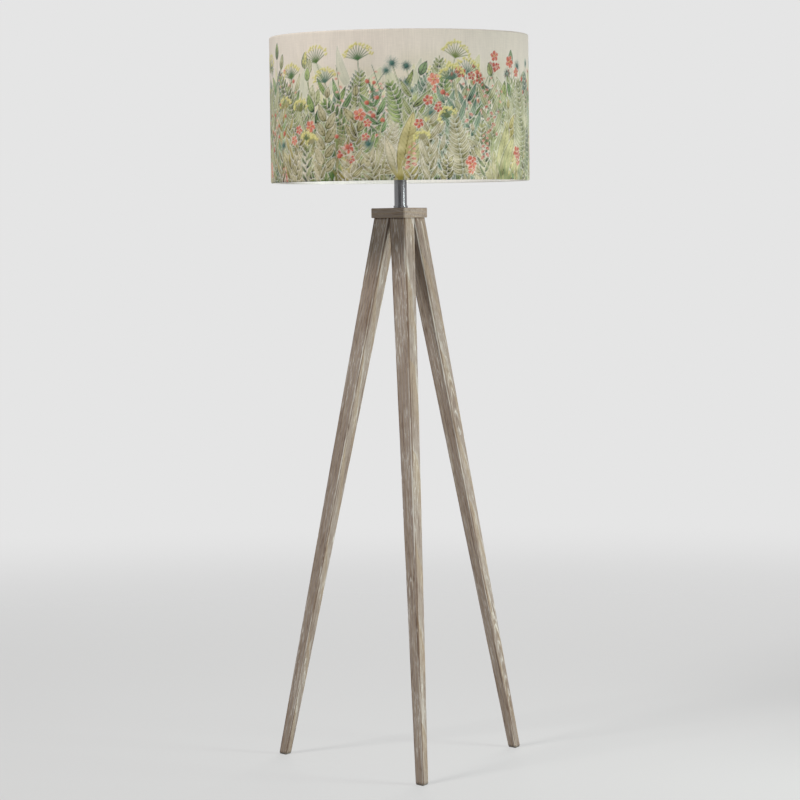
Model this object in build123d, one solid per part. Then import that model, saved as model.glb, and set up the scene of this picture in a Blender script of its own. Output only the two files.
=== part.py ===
from build123d import *
import os
from math import atan2, cos, degrees, radians, sin, sqrt

# Tripod floor lamp: three splayed three-sided wooden legs under a three-sided top plate,
# a plated neck, a switched lampholder with a bulb, and a drum shade on its carrier.
# Millimetres. The floor is z = 0, the lamp's upright axis is x = y = 0, and leg_1 points to -Y.

# Direction of the first leg and the first shade arm, in degrees
FIRST_DIRECTION = -90.0

# Clearances
SLIP_FIT = 0.05
LOOSE_FIT = 0.2
TURN_GAP = 0.3
SKIN_GAP = 0.3

# Legs: sharp side of the three-sided section, the flat on each of its corners, and its place
LEG_TOP_HEIGHT = 1060.0
LEG_TOP_SIDE = 52.5
LEG_TOP_FLAT = 4.0
LEG_TOP_RADIUS = 29.0
LEG_FOOT_SIDE = 26.5
LEG_FOOT_FLAT = 2.4
LEG_FOOT_RADIUS = 265.0
LEG_EDGE_ROUND = 1.4
PAD_THICKNESS = 2.5
PAD_INSET = 0.6

# Top plate
PLATE_THICKNESS = 19.0
PLATE_SIDE = 113.5
PLATE_FLAT = 4.0
PLATE_CORNER_ROUND = 2.4
PLATE_EDGE_ROUND = 1.6

# Leg fasteners
BOLT_DIAMETER = 6.0
BOLT_HEAD_DIAMETER = 12.0
BOLT_SOCKET_ACROSS = 4.0
BOLT_SOCKET_DEPTH = 2.2
BOLT_REACH = 15.0
INSERT_DIAMETER = 9.0
INSERT_LENGTH = 13.0
DOWEL_DIAMETER = 8.0
DOWEL_IN_PLATE = 10.0
DOWEL_IN_LEG = 14.0
DOWEL_OFFSET = 13.0
HOLE_SPARE = 2.0

# Neck
NECK_DIAMETER = 24.5
NECK_WALL = 1.5
NECK_LENGTH = 60.0
COLLAR_WIDTH = 1.6
COLLAR_HEIGHT = 4.5
COLLAR_ROUND = 0.8
CAP_THICKNESS = 4.0
CAP_SPIGOT = 6.0

# Hollow threaded stem with its nuts, washer and cord bush
STEM_DIAMETER = 10.0
STEM_BORE = 7.0
NUT_ACROSS = 15.0
NUT_HEIGHT = 5.0
HOLDER_NUT_HEIGHT = 3.5
WASHER_DIAMETER = 21.0
WASHER_THICKNESS = 1.6
BUSH_DIAMETER = 15.0
BUSH_HEIGHT = 16.0
BUSH_GRIP = 8.0
BUSH_BORE = 6.6
BUSH_MOUTH_ROUND = 1.5

# Lampholder
HOLDER_DIAMETER = 40.0
HOLDER_WALL = 2.2
HOLDER_BASE_HEIGHT = 24.0
HOLDER_BASE_ROUND = 6.0
SHOULDER_DIAMETER = 46.0
SHOULDER_HEIGHT = 3.0
SKIRT_DIAMETER = 39.5
SKIRT_HEIGHT = 33.0
SKIRT_BORE = 31.0
THREAD_PITCH = 2.5
THREAD_DEPTH = 0.6
THREAD_START = 11.0
INSULATOR_FLANGE = 4.0
INSULATOR_HEIGHT = 10.0
TERMINAL_DIAMETER = 4.5
TERMINAL_HEIGHT = 3.0
TERMINAL_RADIUS = 10.0
TERMINAL_COUNT = 2
SOCKET_BORE = 27.6
SOCKET_WALL = 0.6
SOCKET_HEIGHT = 22.0
CONTACT_DIAMETER = 8.0
CONTACT_HEIGHT = 2.0

# Switch bar through the lampholder's base
BAR_DIAMETER = 5.0
BAR_RISE = 14.0
BAR_TRAVEL = 6.0
BAR_BUTTON_DIAMETER = 8.0
BAR_BUTTON_LENGTH = 4.0
BAR_BUTTON_ROUND = 1.0

# Bulb, measured up from the tip of its contact
BULB_TIP_DIAMETER = 8.0
BULB_TIP_HEIGHT = 1.5
BULB_GLASS_HEIGHT = 3.0
BULB_GLASS_DIAMETER = 19.0
BULB_CAP_DIAMETER = 26.4
BULB_CAP_HEIGHT = 22.0
BULB_CAP_WALL = 0.8
BULB_THREAD_PITCH = 3.6
BULB_THREAD_DEPTH = 0.8
BULB_THREAD_TURNS = 5
BULB_BODY_HEIGHT = 40.0
BULB_BODY_TOP_DIAMETER = 56.0
BULB_BODY_WALL = 1.2
BULB_NECK_HEIGHT = 14.0
BULB_NECK_DIAMETER = 30.0
BULB_GLOBE_DIAMETER = 60.0
BULB_GLOBE_WALL = 1.0
BULB_BOARD_THICKNESS = 1.6

# Shade
SHADE_DIAMETER = 500.0
SHADE_HEIGHT = 280.0
SHADE_LIFT = 50.0
CLOTH_THICKNESS = 0.8
LINER_THICKNESS = 0.5
WIRE_DIAMETER = 3.2
HEM_DEPTH = 9.0
ARM_DIAMETER = 3.2
ARM_SLOT_LENGTH = 14.0
ARM_SLOT_GAP = 0.6
GIMBAL_THICKNESS = 2.0
GIMBAL_RIM = 8.5
GIMBAL_CLEARANCE = 0.75
ARM_SINK = 0.4

# Shade ring that screws down on the carrier
RING_FLANGE_DIAMETER = 55.0
RING_FLANGE_HEIGHT = 3.0
RING_COLLAR_DIAMETER = 46.0
RING_HEIGHT = 8.0
RING_RIB_COUNT = 24
RING_RIB_DIAMETER = 2.0

# Levels that follow from the sizes above
PLATE_TOP = LEG_TOP_HEIGHT + PLATE_THICKNESS
NECK_TOP = PLATE_TOP + NECK_LENGTH
HOLDER_BOTTOM = NECK_TOP + CAP_THICKNESS
HOLDER_SEAM = HOLDER_BOTTOM + HOLDER_BASE_HEIGHT
SHOULDER_TOP = HOLDER_SEAM + SHOULDER_HEIGHT
STEM_TOP = HOLDER_BOTTOM + HOLDER_WALL + HOLDER_NUT_HEIGHT
NUT_BOTTOM = LEG_TOP_HEIGHT - WASHER_THICKNESS - NUT_HEIGHT
STEM_BOTTOM = NUT_BOTTOM - BUSH_GRIP
BUSH_BOTTOM = NUT_BOTTOM - BUSH_HEIGHT
BAR_LEVEL = HOLDER_BOTTOM + BAR_RISE
INSULATOR_TOP = HOLDER_SEAM + INSULATOR_HEIGHT
BULB_BASE = INSULATOR_TOP + CONTACT_HEIGHT + TURN_GAP
GIMBAL_BOTTOM = SHOULDER_TOP + TURN_GAP
RING_BOTTOM = GIMBAL_BOTTOM + GIMBAL_THICKNESS + TURN_GAP
SHADE_BOTTOM = PLATE_TOP + SHADE_LIFT
SHADE_TOP = SHADE_BOTTOM + SHADE_HEIGHT

# Radii that follow from the sizes above
SHADE_RADIUS = SHADE_DIAMETER / 2
WIRE_RADIUS = WIRE_DIAMETER / 2
HEM_ROLL = CLOTH_THICKNESS + SKIN_GAP + WIRE_RADIUS
WIRE_CIRCLE = SHADE_RADIUS - HEM_ROLL
TOP_WIRE_LEVEL = SHADE_TOP - HEM_ROLL
BOTTOM_WIRE_LEVEL = SHADE_BOTTOM + HEM_ROLL
GIMBAL_INNER = SKIRT_DIAMETER / 2 + GIMBAL_CLEARANCE
GIMBAL_OUTER = GIMBAL_INNER + GIMBAL_RIM

FROM_BELOW = (Align.CENTER, Align.CENTER, Align.MIN)


def thirds(first):
    """Three directions a third of a turn apart, in degrees."""
    return [first + 360.0 * index / 3 for index in range(3)]


def rod(radius, bottom, height):
    """Upright solid cylinder on the lamp's axis."""
    return Pos(0, 0, bottom) * Cylinder(radius, height, align=FROM_BELOW)


def ring(outer, inner, bottom, height):
    """Upright tube on the lamp's axis."""
    return rod(outer, bottom, height) - rod(inner, bottom, height)


def turned(*edges):
    """Solid turned about the lamp's axis from edges drawn as (radius, height) in the XZ plane."""
    return revolve(make_face(edges), Axis.Z)


def at(radius, height):
    """Point of a turned outline."""
    return Vector(radius, 0, height)


def round_corner(centre, radius, start, end):
    """Arc of a turned outline about a centre (radius, height), between two angles in degrees."""
    middle = (start + end) / 2
    points = [
        at(centre[0] + radius * cos(radians(a)), centre[1] + radius * sin(radians(a)))
        for a in (start, middle, end)
    ]
    return ThreePointArc(*points)


def corner_distance(side, flat):
    """Distance from a three-sided section's centre to the flat on its corner."""
    return side / sqrt(3) - flat * sqrt(3) / 2


def three_sided(side, flat):
    """Three-sided face with a flat on each corner, one of them toward +X."""
    reach = corner_distance(side, flat)
    points = []
    for corner in thirds(0.0):
        for sideways in (-flat / 2, flat / 2):
            points.append(Vector(reach, sideways, 0).rotate(Axis.Z, corner))
    return make_face(Polyline(*points, close=True))


def around(angles, solid):
    """Copies of a solid, drawn toward +X, turned to each angle about the lamp's axis."""
    return [Rot(0, 0, angle) * solid for angle in angles]


def write(name, *solids):
    """Writes a node's solids to its own file."""
    shape = solids[0] if len(solids) == 1 else Compound(children=list(solids))
    export_step(shape, f"parts/{name}.step")


def make_leg():
    """One leg, toward +X, with the blind holes for its insert and its dowel."""
    top = Pos(LEG_TOP_RADIUS, 0, LEG_TOP_HEIGHT) * three_sided(LEG_TOP_SIDE, LEG_TOP_FLAT)
    foot = Pos(LEG_FOOT_RADIUS, 0, PAD_THICKNESS) * three_sided(LEG_FOOT_SIDE, LEG_FOOT_FLAT)
    leg = loft([foot, top], ruled=True)
    long_edges = leg.edges().filter_by(lambda edge: edge.length > LEG_TOP_HEIGHT / 2)
    leg = fillet(long_edges, LEG_EDGE_ROUND)
    insert_depth = max(INSERT_LENGTH, BOLT_REACH) + HOLE_SPARE
    insert_hole = rod(INSERT_DIAMETER / 2 + SLIP_FIT, LEG_TOP_HEIGHT - insert_depth, insert_depth)
    dowel_hole = rod(DOWEL_DIAMETER / 2 + SLIP_FIT, LEG_TOP_HEIGHT - DOWEL_IN_LEG, DOWEL_IN_LEG)
    leg -= Pos(LEG_TOP_RADIUS, 0, 0) * insert_hole
    leg -= Pos(LEG_TOP_RADIUS + DOWEL_OFFSET, 0, 0) * dowel_hole
    return leg


def make_pad():
    """Felt pad under one foot, toward +X."""
    inset_side = LEG_FOOT_SIDE - 2 * sqrt(3) * PAD_INSET
    pad = extrude(three_sided(inset_side, LEG_FOOT_FLAT), PAD_THICKNESS)
    return Pos(LEG_FOOT_RADIUS, 0, 0) * pad


def bolt_head_height():
    """Height of a countersunk head with a ninety-degree cone."""
    return (BOLT_HEAD_DIAMETER - BOLT_DIAMETER) / 2


def make_bolt():
    """Countersunk socket bolt from the plate's top into one leg, toward +X."""
    head = bolt_head_height()
    shank_length = PLATE_THICKNESS + BOLT_REACH
    bolt = rod(BOLT_DIAMETER / 2, PLATE_TOP - shank_length, shank_length)
    cone = Cone(BOLT_DIAMETER / 2, BOLT_HEAD_DIAMETER / 2, head, align=FROM_BELOW)
    bolt += Pos(0, 0, PLATE_TOP - head) * cone
    socket = extrude(RegularPolygon(BOLT_SOCKET_ACROSS / 2, 6, major_radius=False), BOLT_SOCKET_DEPTH)
    bolt -= Pos(0, 0, PLATE_TOP - BOLT_SOCKET_DEPTH) * socket
    return Pos(LEG_TOP_RADIUS, 0, 0) * bolt


def make_insert():
    """Threaded insert in one leg's top, toward +X."""
    sleeve = ring(
        INSERT_DIAMETER / 2, BOLT_DIAMETER / 2 + SLIP_FIT, LEG_TOP_HEIGHT - INSERT_LENGTH, INSERT_LENGTH
    )
    return Pos(LEG_TOP_RADIUS, 0, 0) * sleeve


def make_dowel():
    """Dowel between the plate and one leg, toward +X."""
    peg = rod(DOWEL_DIAMETER / 2, LEG_TOP_HEIGHT - DOWEL_IN_LEG, DOWEL_IN_LEG + DOWEL_IN_PLATE)
    return Pos(LEG_TOP_RADIUS + DOWEL_OFFSET, 0, 0) * peg


def make_plate():
    """Top plate with holes for the stem, the bolts and the dowels."""
    blank = extrude(three_sided(PLATE_SIDE, PLATE_FLAT), PLATE_THICKNESS)
    blank = Rot(0, 0, FIRST_DIRECTION) * Pos(0, 0, LEG_TOP_HEIGHT) * blank
    blank = fillet(blank.edges().filter_by(Axis.Z), PLATE_CORNER_ROUND)
    rims = blank.faces().filter_by(Axis.Z).edges()
    plate = fillet(rims, PLATE_EDGE_ROUND)
    plate -= rod(STEM_DIAMETER / 2 + LOOSE_FIT, LEG_TOP_HEIGHT, PLATE_THICKNESS)
    head = bolt_head_height()
    bolt_hole = rod(BOLT_DIAMETER / 2 + LOOSE_FIT, LEG_TOP_HEIGHT, PLATE_THICKNESS)
    sink = Cone(
        BOLT_DIAMETER / 2 + LOOSE_FIT, BOLT_HEAD_DIAMETER / 2 + LOOSE_FIT, head, align=FROM_BELOW
    )
    bolt_hole += Pos(0, 0, PLATE_TOP - head) * sink
    dowel_hole = rod(DOWEL_DIAMETER / 2 + SLIP_FIT, LEG_TOP_HEIGHT, DOWEL_IN_PLATE)
    for angle in thirds(FIRST_DIRECTION):
        plate -= Rot(0, 0, angle) * Pos(LEG_TOP_RADIUS, 0, 0) * bolt_hole
        plate -= Rot(0, 0, angle) * Pos(LEG_TOP_RADIUS + DOWEL_OFFSET, 0, 0) * dowel_hole
    return plate


def make_collar():
    """Ring round the foot of the neck, on the plate."""
    inner = NECK_DIAMETER / 2 + SLIP_FIT
    collar = ring(inner + COLLAR_WIDTH, inner, PLATE_TOP, COLLAR_HEIGHT)
    outer_rim = collar.edges().filter_by(GeomType.CIRCLE).group_by(Axis.Z)[-1].sort_by(SortBy.RADIUS)[-1]
    return fillet(outer_rim, COLLAR_ROUND)


def make_neck():
    """Neck tube standing on the plate."""
    return ring(NECK_DIAMETER / 2, NECK_DIAMETER / 2 - NECK_WALL, PLATE_TOP, NECK_LENGTH)


def make_neck_cap():
    """Cap on the neck, with a spigot inside the tube and a hole for the stem."""
    spigot = NECK_DIAMETER / 2 - NECK_WALL - SLIP_FIT
    cap = rod(NECK_DIAMETER / 2, NECK_TOP, CAP_THICKNESS) + rod(spigot, NECK_TOP - CAP_SPIGOT, CAP_SPIGOT)
    return cap - rod(STEM_DIAMETER / 2 + SLIP_FIT, NECK_TOP - CAP_SPIGOT, CAP_SPIGOT + CAP_THICKNESS)


def make_stem():
    """Hollow threaded stem that clamps the plate, the neck and the lampholder together."""
    return ring(STEM_DIAMETER / 2, STEM_BORE / 2, STEM_BOTTOM, STEM_TOP - STEM_BOTTOM)


def make_nut(bottom, height):
    """Six-sided nut on the stem."""
    body = extrude(RegularPolygon(NUT_ACROSS / 2, 6, major_radius=False), height)
    return Pos(0, 0, bottom) * body - rod(STEM_DIAMETER / 2 + SLIP_FIT, bottom, height)


def make_washer():
    """Washer between the plate and the lower nut."""
    bottom = LEG_TOP_HEIGHT - WASHER_THICKNESS
    return ring(WASHER_DIAMETER / 2, STEM_DIAMETER / 2 + SLIP_FIT, bottom, WASHER_THICKNESS)


def make_bush():
    """Cord bush on the stem's lower end, with a rounded mouth."""
    bush = rod(BUSH_DIAMETER / 2, BUSH_BOTTOM, BUSH_HEIGHT)
    bush -= rod(STEM_DIAMETER / 2 + SLIP_FIT, STEM_BOTTOM, BUSH_GRIP)
    bush -= rod(BUSH_BORE / 2, BUSH_BOTTOM, BUSH_HEIGHT)
    mouth = bush.edges().filter_by(GeomType.CIRCLE).group_by(Axis.Z)[0]
    return fillet(mouth, BUSH_MOUTH_ROUND)


def make_holder_base():
    """Lower half of the lampholder, a cup with a hole each side for the switch bar."""
    radius = HOLDER_DIAMETER / 2
    turn = (radius - HOLDER_BASE_ROUND, HOLDER_BOTTOM + HOLDER_BASE_ROUND)
    inner_round = HOLDER_BASE_ROUND - HOLDER_WALL
    hole = STEM_DIAMETER / 2 + SLIP_FIT
    floor = HOLDER_BOTTOM + HOLDER_WALL
    base = turned(
        Line(at(hole, HOLDER_BOTTOM), at(turn[0], HOLDER_BOTTOM)),
        round_corner(turn, HOLDER_BASE_ROUND, -90, 0),
        Line(at(radius, turn[1]), at(radius, HOLDER_SEAM)),
        Line(at(radius, HOLDER_SEAM), at(radius - HOLDER_WALL, HOLDER_SEAM)),
        Line(at(radius - HOLDER_WALL, HOLDER_SEAM), at(radius - HOLDER_WALL, turn[1])),
        round_corner(turn, inner_round, 0, -90),
        Line(at(turn[0], floor), at(hole, floor)),
        Line(at(hole, floor), at(hole, HOLDER_BOTTOM)),
    )
    return base - across(BAR_DIAMETER / 2 + SLIP_FIT, HOLDER_DIAMETER, 0)


def across(radius, length, centre):
    """Cylinder along X at the switch bar's level."""
    return Pos(centre, 0, BAR_LEVEL) * Rot(0, 90, 0) * Cylinder(radius, length)


def make_switch_bar():
    """Push-through bar with a button on each end, at rest pushed fully toward +X."""
    low_button = -HOLDER_DIAMETER / 2 - TURN_GAP - BAR_BUTTON_LENGTH / 2
    high_button = HOLDER_DIAMETER / 2 + TURN_GAP + BAR_TRAVEL + BAR_BUTTON_LENGTH / 2
    bar = across(BAR_DIAMETER / 2, high_button - low_button, (high_button + low_button) / 2)
    for centre in (low_button, high_button):
        button = across(BAR_BUTTON_DIAMETER / 2, BAR_BUTTON_LENGTH, centre)
        bar += fillet(button.edges().filter_by(GeomType.CIRCLE), BAR_BUTTON_ROUND)
    return bar


def make_holder_shell():
    """Upper half of the lampholder: a shoulder for the shade and a threaded skirt."""
    shell = rod(SHOULDER_DIAMETER / 2, HOLDER_SEAM, SHOULDER_HEIGHT)
    shell += rod(SKIRT_DIAMETER / 2, SHOULDER_TOP, SKIRT_HEIGHT)
    shell -= rod(SKIRT_BORE / 2, HOLDER_SEAM, SHOULDER_HEIGHT + SKIRT_HEIGHT)
    grooves = int((SKIRT_HEIGHT - THREAD_START) / THREAD_PITCH)
    for index in range(grooves):
        level = SHOULDER_TOP + THREAD_START + THREAD_PITCH * index
        shell -= ring(SKIRT_DIAMETER / 2, SKIRT_DIAMETER / 2 - THREAD_DEPTH, level, THREAD_PITCH / 2)
    return shell


def make_insulator():
    """Insulating core held by its flange between the lampholder's two halves."""
    flange = HOLDER_DIAMETER / 2 - HOLDER_WALL - LOOSE_FIT
    core = rod(flange, HOLDER_SEAM - INSULATOR_FLANGE, INSULATOR_FLANGE)
    return core + rod(SKIRT_BORE / 2 - LOOSE_FIT, HOLDER_SEAM, INSULATOR_HEIGHT)


def make_terminals():
    """Terminal screws hanging from the core into the lampholder's base."""
    bottom = HOLDER_SEAM - INSULATOR_FLANGE - TERMINAL_HEIGHT
    screw = Pos(TERMINAL_RADIUS, 0, 0) * rod(TERMINAL_DIAMETER / 2, bottom, TERMINAL_HEIGHT)
    quarter_turn = 90.0
    return around([quarter_turn + 360.0 / TERMINAL_COUNT * k for k in range(TERMINAL_COUNT)], screw)


def make_socket():
    """Plain inside of the screw shell that takes the bulb's cap."""
    return ring(SOCKET_BORE / 2 + SOCKET_WALL, SOCKET_BORE / 2, INSULATOR_TOP, SOCKET_HEIGHT)


def make_contact():
    """Centre contact on the core."""
    return rod(CONTACT_DIAMETER / 2, INSULATOR_TOP, CONTACT_HEIGHT)


def bulb_levels():
    """Heights of the bulb's insulator, cap, body and globe seams."""
    glass = BULB_BASE + BULB_TIP_HEIGHT
    cap = glass + BULB_GLASS_HEIGHT
    body = cap + BULB_CAP_HEIGHT
    return glass, cap, body, body + BULB_BODY_HEIGHT


def make_bulb_tip():
    """Bulb's contact button."""
    return rod(BULB_TIP_DIAMETER / 2, BULB_BASE, BULB_TIP_HEIGHT)


def make_bulb_insulator():
    """Dark glass cone between the bulb's contact and its cap."""
    glass = bulb_levels()[0]
    cone = Cone(BULB_TIP_DIAMETER / 2, BULB_GLASS_DIAMETER / 2, BULB_GLASS_HEIGHT, align=FROM_BELOW)
    return Pos(0, 0, glass) * cone


def make_bulb_cap():
    """Bulb's metal cap: a cup with rounded thread ridges."""
    bottom, top = bulb_levels()[1:3]
    core = BULB_CAP_DIAMETER / 2 - BULB_THREAD_DEPTH
    cap = rod(core, bottom, BULB_CAP_HEIGHT)
    half = BULB_THREAD_PITCH / 2
    first = bottom + half
    for index in range(BULB_THREAD_TURNS):
        level = first + BULB_THREAD_PITCH * index
        low, high = at(core, level - half / 2), at(core, level + half / 2)
        crest = at(core + BULB_THREAD_DEPTH, level)
        cap += turned(
            ThreePointArc(low, crest, high),
            Line(high, at(core / 2, level + half / 2)),
            Line(at(core / 2, level + half / 2), at(core / 2, level - half / 2)),
            Line(at(core / 2, level - half / 2), low),
        )
    return cap - rod(core - BULB_CAP_WALL, bottom + BULB_CAP_WALL, top - bottom)


def bulb_body_curve(inward):
    """Outline of the bulb's body, moved inward by a wall, with its two ends."""
    body, seam = bulb_levels()[2:4]
    low = at(BULB_CAP_DIAMETER / 2 - inward, body)
    neck = at(BULB_NECK_DIAMETER / 2 - inward, body + BULB_NECK_HEIGHT)
    high = at(BULB_BODY_TOP_DIAMETER / 2 - inward, seam)
    return Spline(low, neck, high), low, high


def make_bulb_body():
    """Bulb's white plastic body, open at both ends."""
    outer, outer_low, outer_high = bulb_body_curve(0)
    inner, inner_low, inner_high = bulb_body_curve(BULB_BODY_WALL)
    return turned(outer, Line(outer_high, inner_high), inner, Line(inner_low, outer_low))


def make_bulb_board():
    """Light board across the top of the bulb's body."""
    seam = bulb_levels()[3]
    radius = BULB_BODY_TOP_DIAMETER / 2 - BULB_BODY_WALL - BULB_BOARD_THICKNESS
    return rod(radius, seam - BULB_BOARD_THICKNESS, BULB_BOARD_THICKNESS)


def make_bulb_globe():
    """Bulb's opal globe, open where it sits on the body."""
    seam = bulb_levels()[3]
    radius = BULB_GLOBE_DIAMETER / 2
    centre = seam + sqrt(radius**2 - (BULB_BODY_TOP_DIAMETER / 2) ** 2)
    globe = Pos(0, 0, centre) * (Sphere(radius) - Sphere(radius - BULB_GLOBE_WALL))
    return globe - rod(radius, centre - 2 * radius, 2 * radius - (centre - seam))


def make_cover():
    """Shade's cloth, rolled inward round both wires, with a slot in its lower hem for each arm."""
    inner_wall = SHADE_RADIUS - CLOTH_THICKNESS
    hem_outer = WIRE_CIRCLE - HEM_ROLL
    hem_inner = hem_outer + CLOTH_THICKNESS
    wire_gap = HEM_ROLL - CLOTH_THICKNESS
    top, bottom = TOP_WIRE_LEVEL, BOTTOM_WIRE_LEVEL
    hem_top, hem_bottom = top - HEM_DEPTH, bottom + HEM_DEPTH
    cover = turned(
        Line(at(SHADE_RADIUS, bottom), at(SHADE_RADIUS, top)),
        round_corner((WIRE_CIRCLE, top), HEM_ROLL, 0, 180),
        Line(at(hem_outer, top), at(hem_outer, hem_top)),
        Line(at(hem_outer, hem_top), at(hem_inner, hem_top)),
        Line(at(hem_inner, hem_top), at(hem_inner, top)),
        round_corner((WIRE_CIRCLE, top), wire_gap, 180, 0),
        Line(at(inner_wall, top), at(inner_wall, bottom)),
        round_corner((WIRE_CIRCLE, bottom), wire_gap, 0, -180),
        Line(at(hem_inner, bottom), at(hem_inner, hem_bottom)),
        Line(at(hem_inner, hem_bottom), at(hem_outer, hem_bottom)),
        Line(at(hem_outer, hem_bottom), at(hem_outer, bottom)),
        round_corner((WIRE_CIRCLE, bottom), HEM_ROLL, -180, 0),
    )
    slot = make_arm(ARM_DIAMETER / 2 + ARM_SLOT_GAP, ARM_SLOT_LENGTH)
    for solid in around(thirds(FIRST_DIRECTION), slot):
        cover -= solid
    return cover


def make_liner():
    """Shade's white liner, against the inside of the cloth between the two wires."""
    outer = SHADE_RADIUS - CLOTH_THICKNESS - SKIN_GAP
    bottom = BOTTOM_WIRE_LEVEL + WIRE_RADIUS + SKIN_GAP
    top = TOP_WIRE_LEVEL - WIRE_RADIUS - SKIN_GAP
    return ring(outer, outer - LINER_THICKNESS, bottom, top - bottom)


def make_wire(level):
    """Round wire inside one of the shade's hems."""
    return Pos(0, 0, level) * Torus(WIRE_CIRCLE, WIRE_RADIUS)


def arm_top():
    """Point under the gimbal where an arm's axis ends, toward +X."""
    return at(GIMBAL_OUTER - ARM_DIAMETER / 2, GIMBAL_BOTTOM + ARM_SINK - ARM_DIAMETER / 2)


def make_arm(radius, length):
    """Rod of a given length from the lower wire toward the gimbal, toward +X."""
    start = at(WIRE_CIRCLE, BOTTOM_WIRE_LEVEL)
    toward = arm_top() - start
    tilt = degrees(atan2(toward.X, toward.Z))
    return Pos(start) * Rot(0, tilt, 0) * Cylinder(radius, length, align=FROM_BELOW)


def make_carrier():
    """Welded carrier: the lower wire, three sloping arms and the gimbal ring."""
    carrier = make_wire(BOTTOM_WIRE_LEVEL)
    arm_length = (arm_top() - at(WIRE_CIRCLE, BOTTOM_WIRE_LEVEL)).length
    for arm in around(thirds(FIRST_DIRECTION), make_arm(ARM_DIAMETER / 2, arm_length)):
        carrier += arm
    return carrier + ring(GIMBAL_OUTER, GIMBAL_INNER, GIMBAL_BOTTOM, GIMBAL_THICKNESS)


def make_shade_ring():
    """Ring that screws down on the gimbal, with finger ribs on its collar."""
    collar = RING_COLLAR_DIAMETER / 2
    nut = rod(RING_FLANGE_DIAMETER / 2, RING_BOTTOM, RING_FLANGE_HEIGHT)
    nut += rod(collar, RING_BOTTOM, RING_HEIGHT)
    rib = Pos(collar, 0, 0) * rod(RING_RIB_DIAMETER / 2, RING_BOTTOM, RING_HEIGHT)
    for solid in around([360.0 / RING_RIB_COUNT * k for k in range(RING_RIB_COUNT)], rib):
        nut += solid
    return nut - rod(SKIRT_DIAMETER / 2 + LOOSE_FIT, RING_BOTTOM, RING_HEIGHT)


def main():
    """Builds every piece and writes it to its own file."""
    os.makedirs("parts", exist_ok=True)
    angles = thirds(FIRST_DIRECTION)
    for index, leg in enumerate(around(angles, make_leg())):
        write(f"leg_{index + 1}", leg)
    for index, pad in enumerate(around(angles, make_pad())):
        write(f"foot_pad_{index + 1}", pad)
    write("top_plate", make_plate())
    write("leg_bolts", *around(angles, make_bolt()))
    write("leg_inserts", *around(angles, make_insert()))
    write("leg_dowels", *around(angles, make_dowel()))
    write("neck_collar", make_collar())
    write("neck_tube", make_neck())
    write("neck_cap", make_neck_cap())
    write("stem", make_stem())
    write("stem_washer", make_washer())
    write("stem_nut", make_nut(NUT_BOTTOM, NUT_HEIGHT))
    write("holder_nut", make_nut(HOLDER_BOTTOM + HOLDER_WALL, HOLDER_NUT_HEIGHT))
    write("cord_bush", make_bush())
    write("lampholder_base", make_holder_base())
    write("lampholder_shell", make_holder_shell())
    write("lampholder_core", make_insulator())
    write("terminal_screws", *make_terminals())
    write("screw_socket", make_socket())
    write("centre_contact", make_contact())
    write("switch_bar", make_switch_bar())
    write("bulb_contact", make_bulb_tip())
    write("bulb_insulator", make_bulb_insulator())
    write("bulb_cap", make_bulb_cap())
    write("bulb_body", make_bulb_body())
    write("bulb_board", make_bulb_board())
    write("bulb_globe", make_bulb_globe())
    write("shade_cover", make_cover())
    write("shade_liner", make_liner())
    write("shade_top_wire", make_wire(TOP_WIRE_LEVEL))
    write("shade_carrier", make_carrier())
    write("shade_ring", make_shade_ring())


if __name__ == "__main__":
    main()
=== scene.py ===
"""Looks of the tripod floor lamp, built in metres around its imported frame.

The frame gives every piece's place and size. Each class below is one sub-assembly of the
lamp or of the studio around it, and each finish is a material of the real lamp.
"""

import logging
import math
from dataclasses import dataclass, field
from enum import Enum

import bpy
import numpy as np
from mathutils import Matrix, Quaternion, Vector

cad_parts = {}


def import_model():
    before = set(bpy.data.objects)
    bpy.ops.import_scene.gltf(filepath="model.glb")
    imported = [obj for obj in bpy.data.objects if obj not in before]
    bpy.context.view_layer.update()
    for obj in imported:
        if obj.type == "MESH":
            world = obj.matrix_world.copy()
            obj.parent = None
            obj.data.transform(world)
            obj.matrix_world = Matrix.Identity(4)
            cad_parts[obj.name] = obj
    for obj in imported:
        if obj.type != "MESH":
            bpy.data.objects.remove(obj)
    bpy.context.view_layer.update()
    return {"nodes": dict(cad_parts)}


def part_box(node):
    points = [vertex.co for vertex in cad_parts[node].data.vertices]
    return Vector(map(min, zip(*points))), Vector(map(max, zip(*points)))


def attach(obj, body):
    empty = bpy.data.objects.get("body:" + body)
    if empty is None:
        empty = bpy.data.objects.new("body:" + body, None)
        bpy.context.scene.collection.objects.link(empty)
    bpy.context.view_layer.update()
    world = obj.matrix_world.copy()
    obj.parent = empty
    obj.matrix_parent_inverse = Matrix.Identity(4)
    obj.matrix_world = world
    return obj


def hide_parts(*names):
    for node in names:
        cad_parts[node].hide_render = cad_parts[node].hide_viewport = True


log = logging.getLogger("tripod_lamp")

MILLIMETRE = 0.001
TINY = 1e-12

# A dark colour and a light one.
Tones = tuple[str, str]


class GrainSource(Enum):
    """Where a wooden piece's grain coordinates come from."""

    PIECE = "grain stored on the mesh"
    OBJECT = "the object's own coordinates"


class Softbox(Enum):
    """The lights of the studio."""

    KEY = "key_softbox"
    SIDE = "side_softbox"
    BACK = "back_softbox"


class Habit(Enum):
    """How a plant of the cloth's print grows."""

    BROAD = "broad leaves on a stem"
    FERN = "a fern frond"
    GRASS = "a tuft of grass"
    BLOSSOM = "five-petalled blossoms"
    UMBEL = "a flat head of small flowers"
    BERRIES = "a berry sprig"
    BELLS = "a spike of bells"
    PADDLE = "tall upright leaves"
    SEEDS = "a round seed head"


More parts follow.
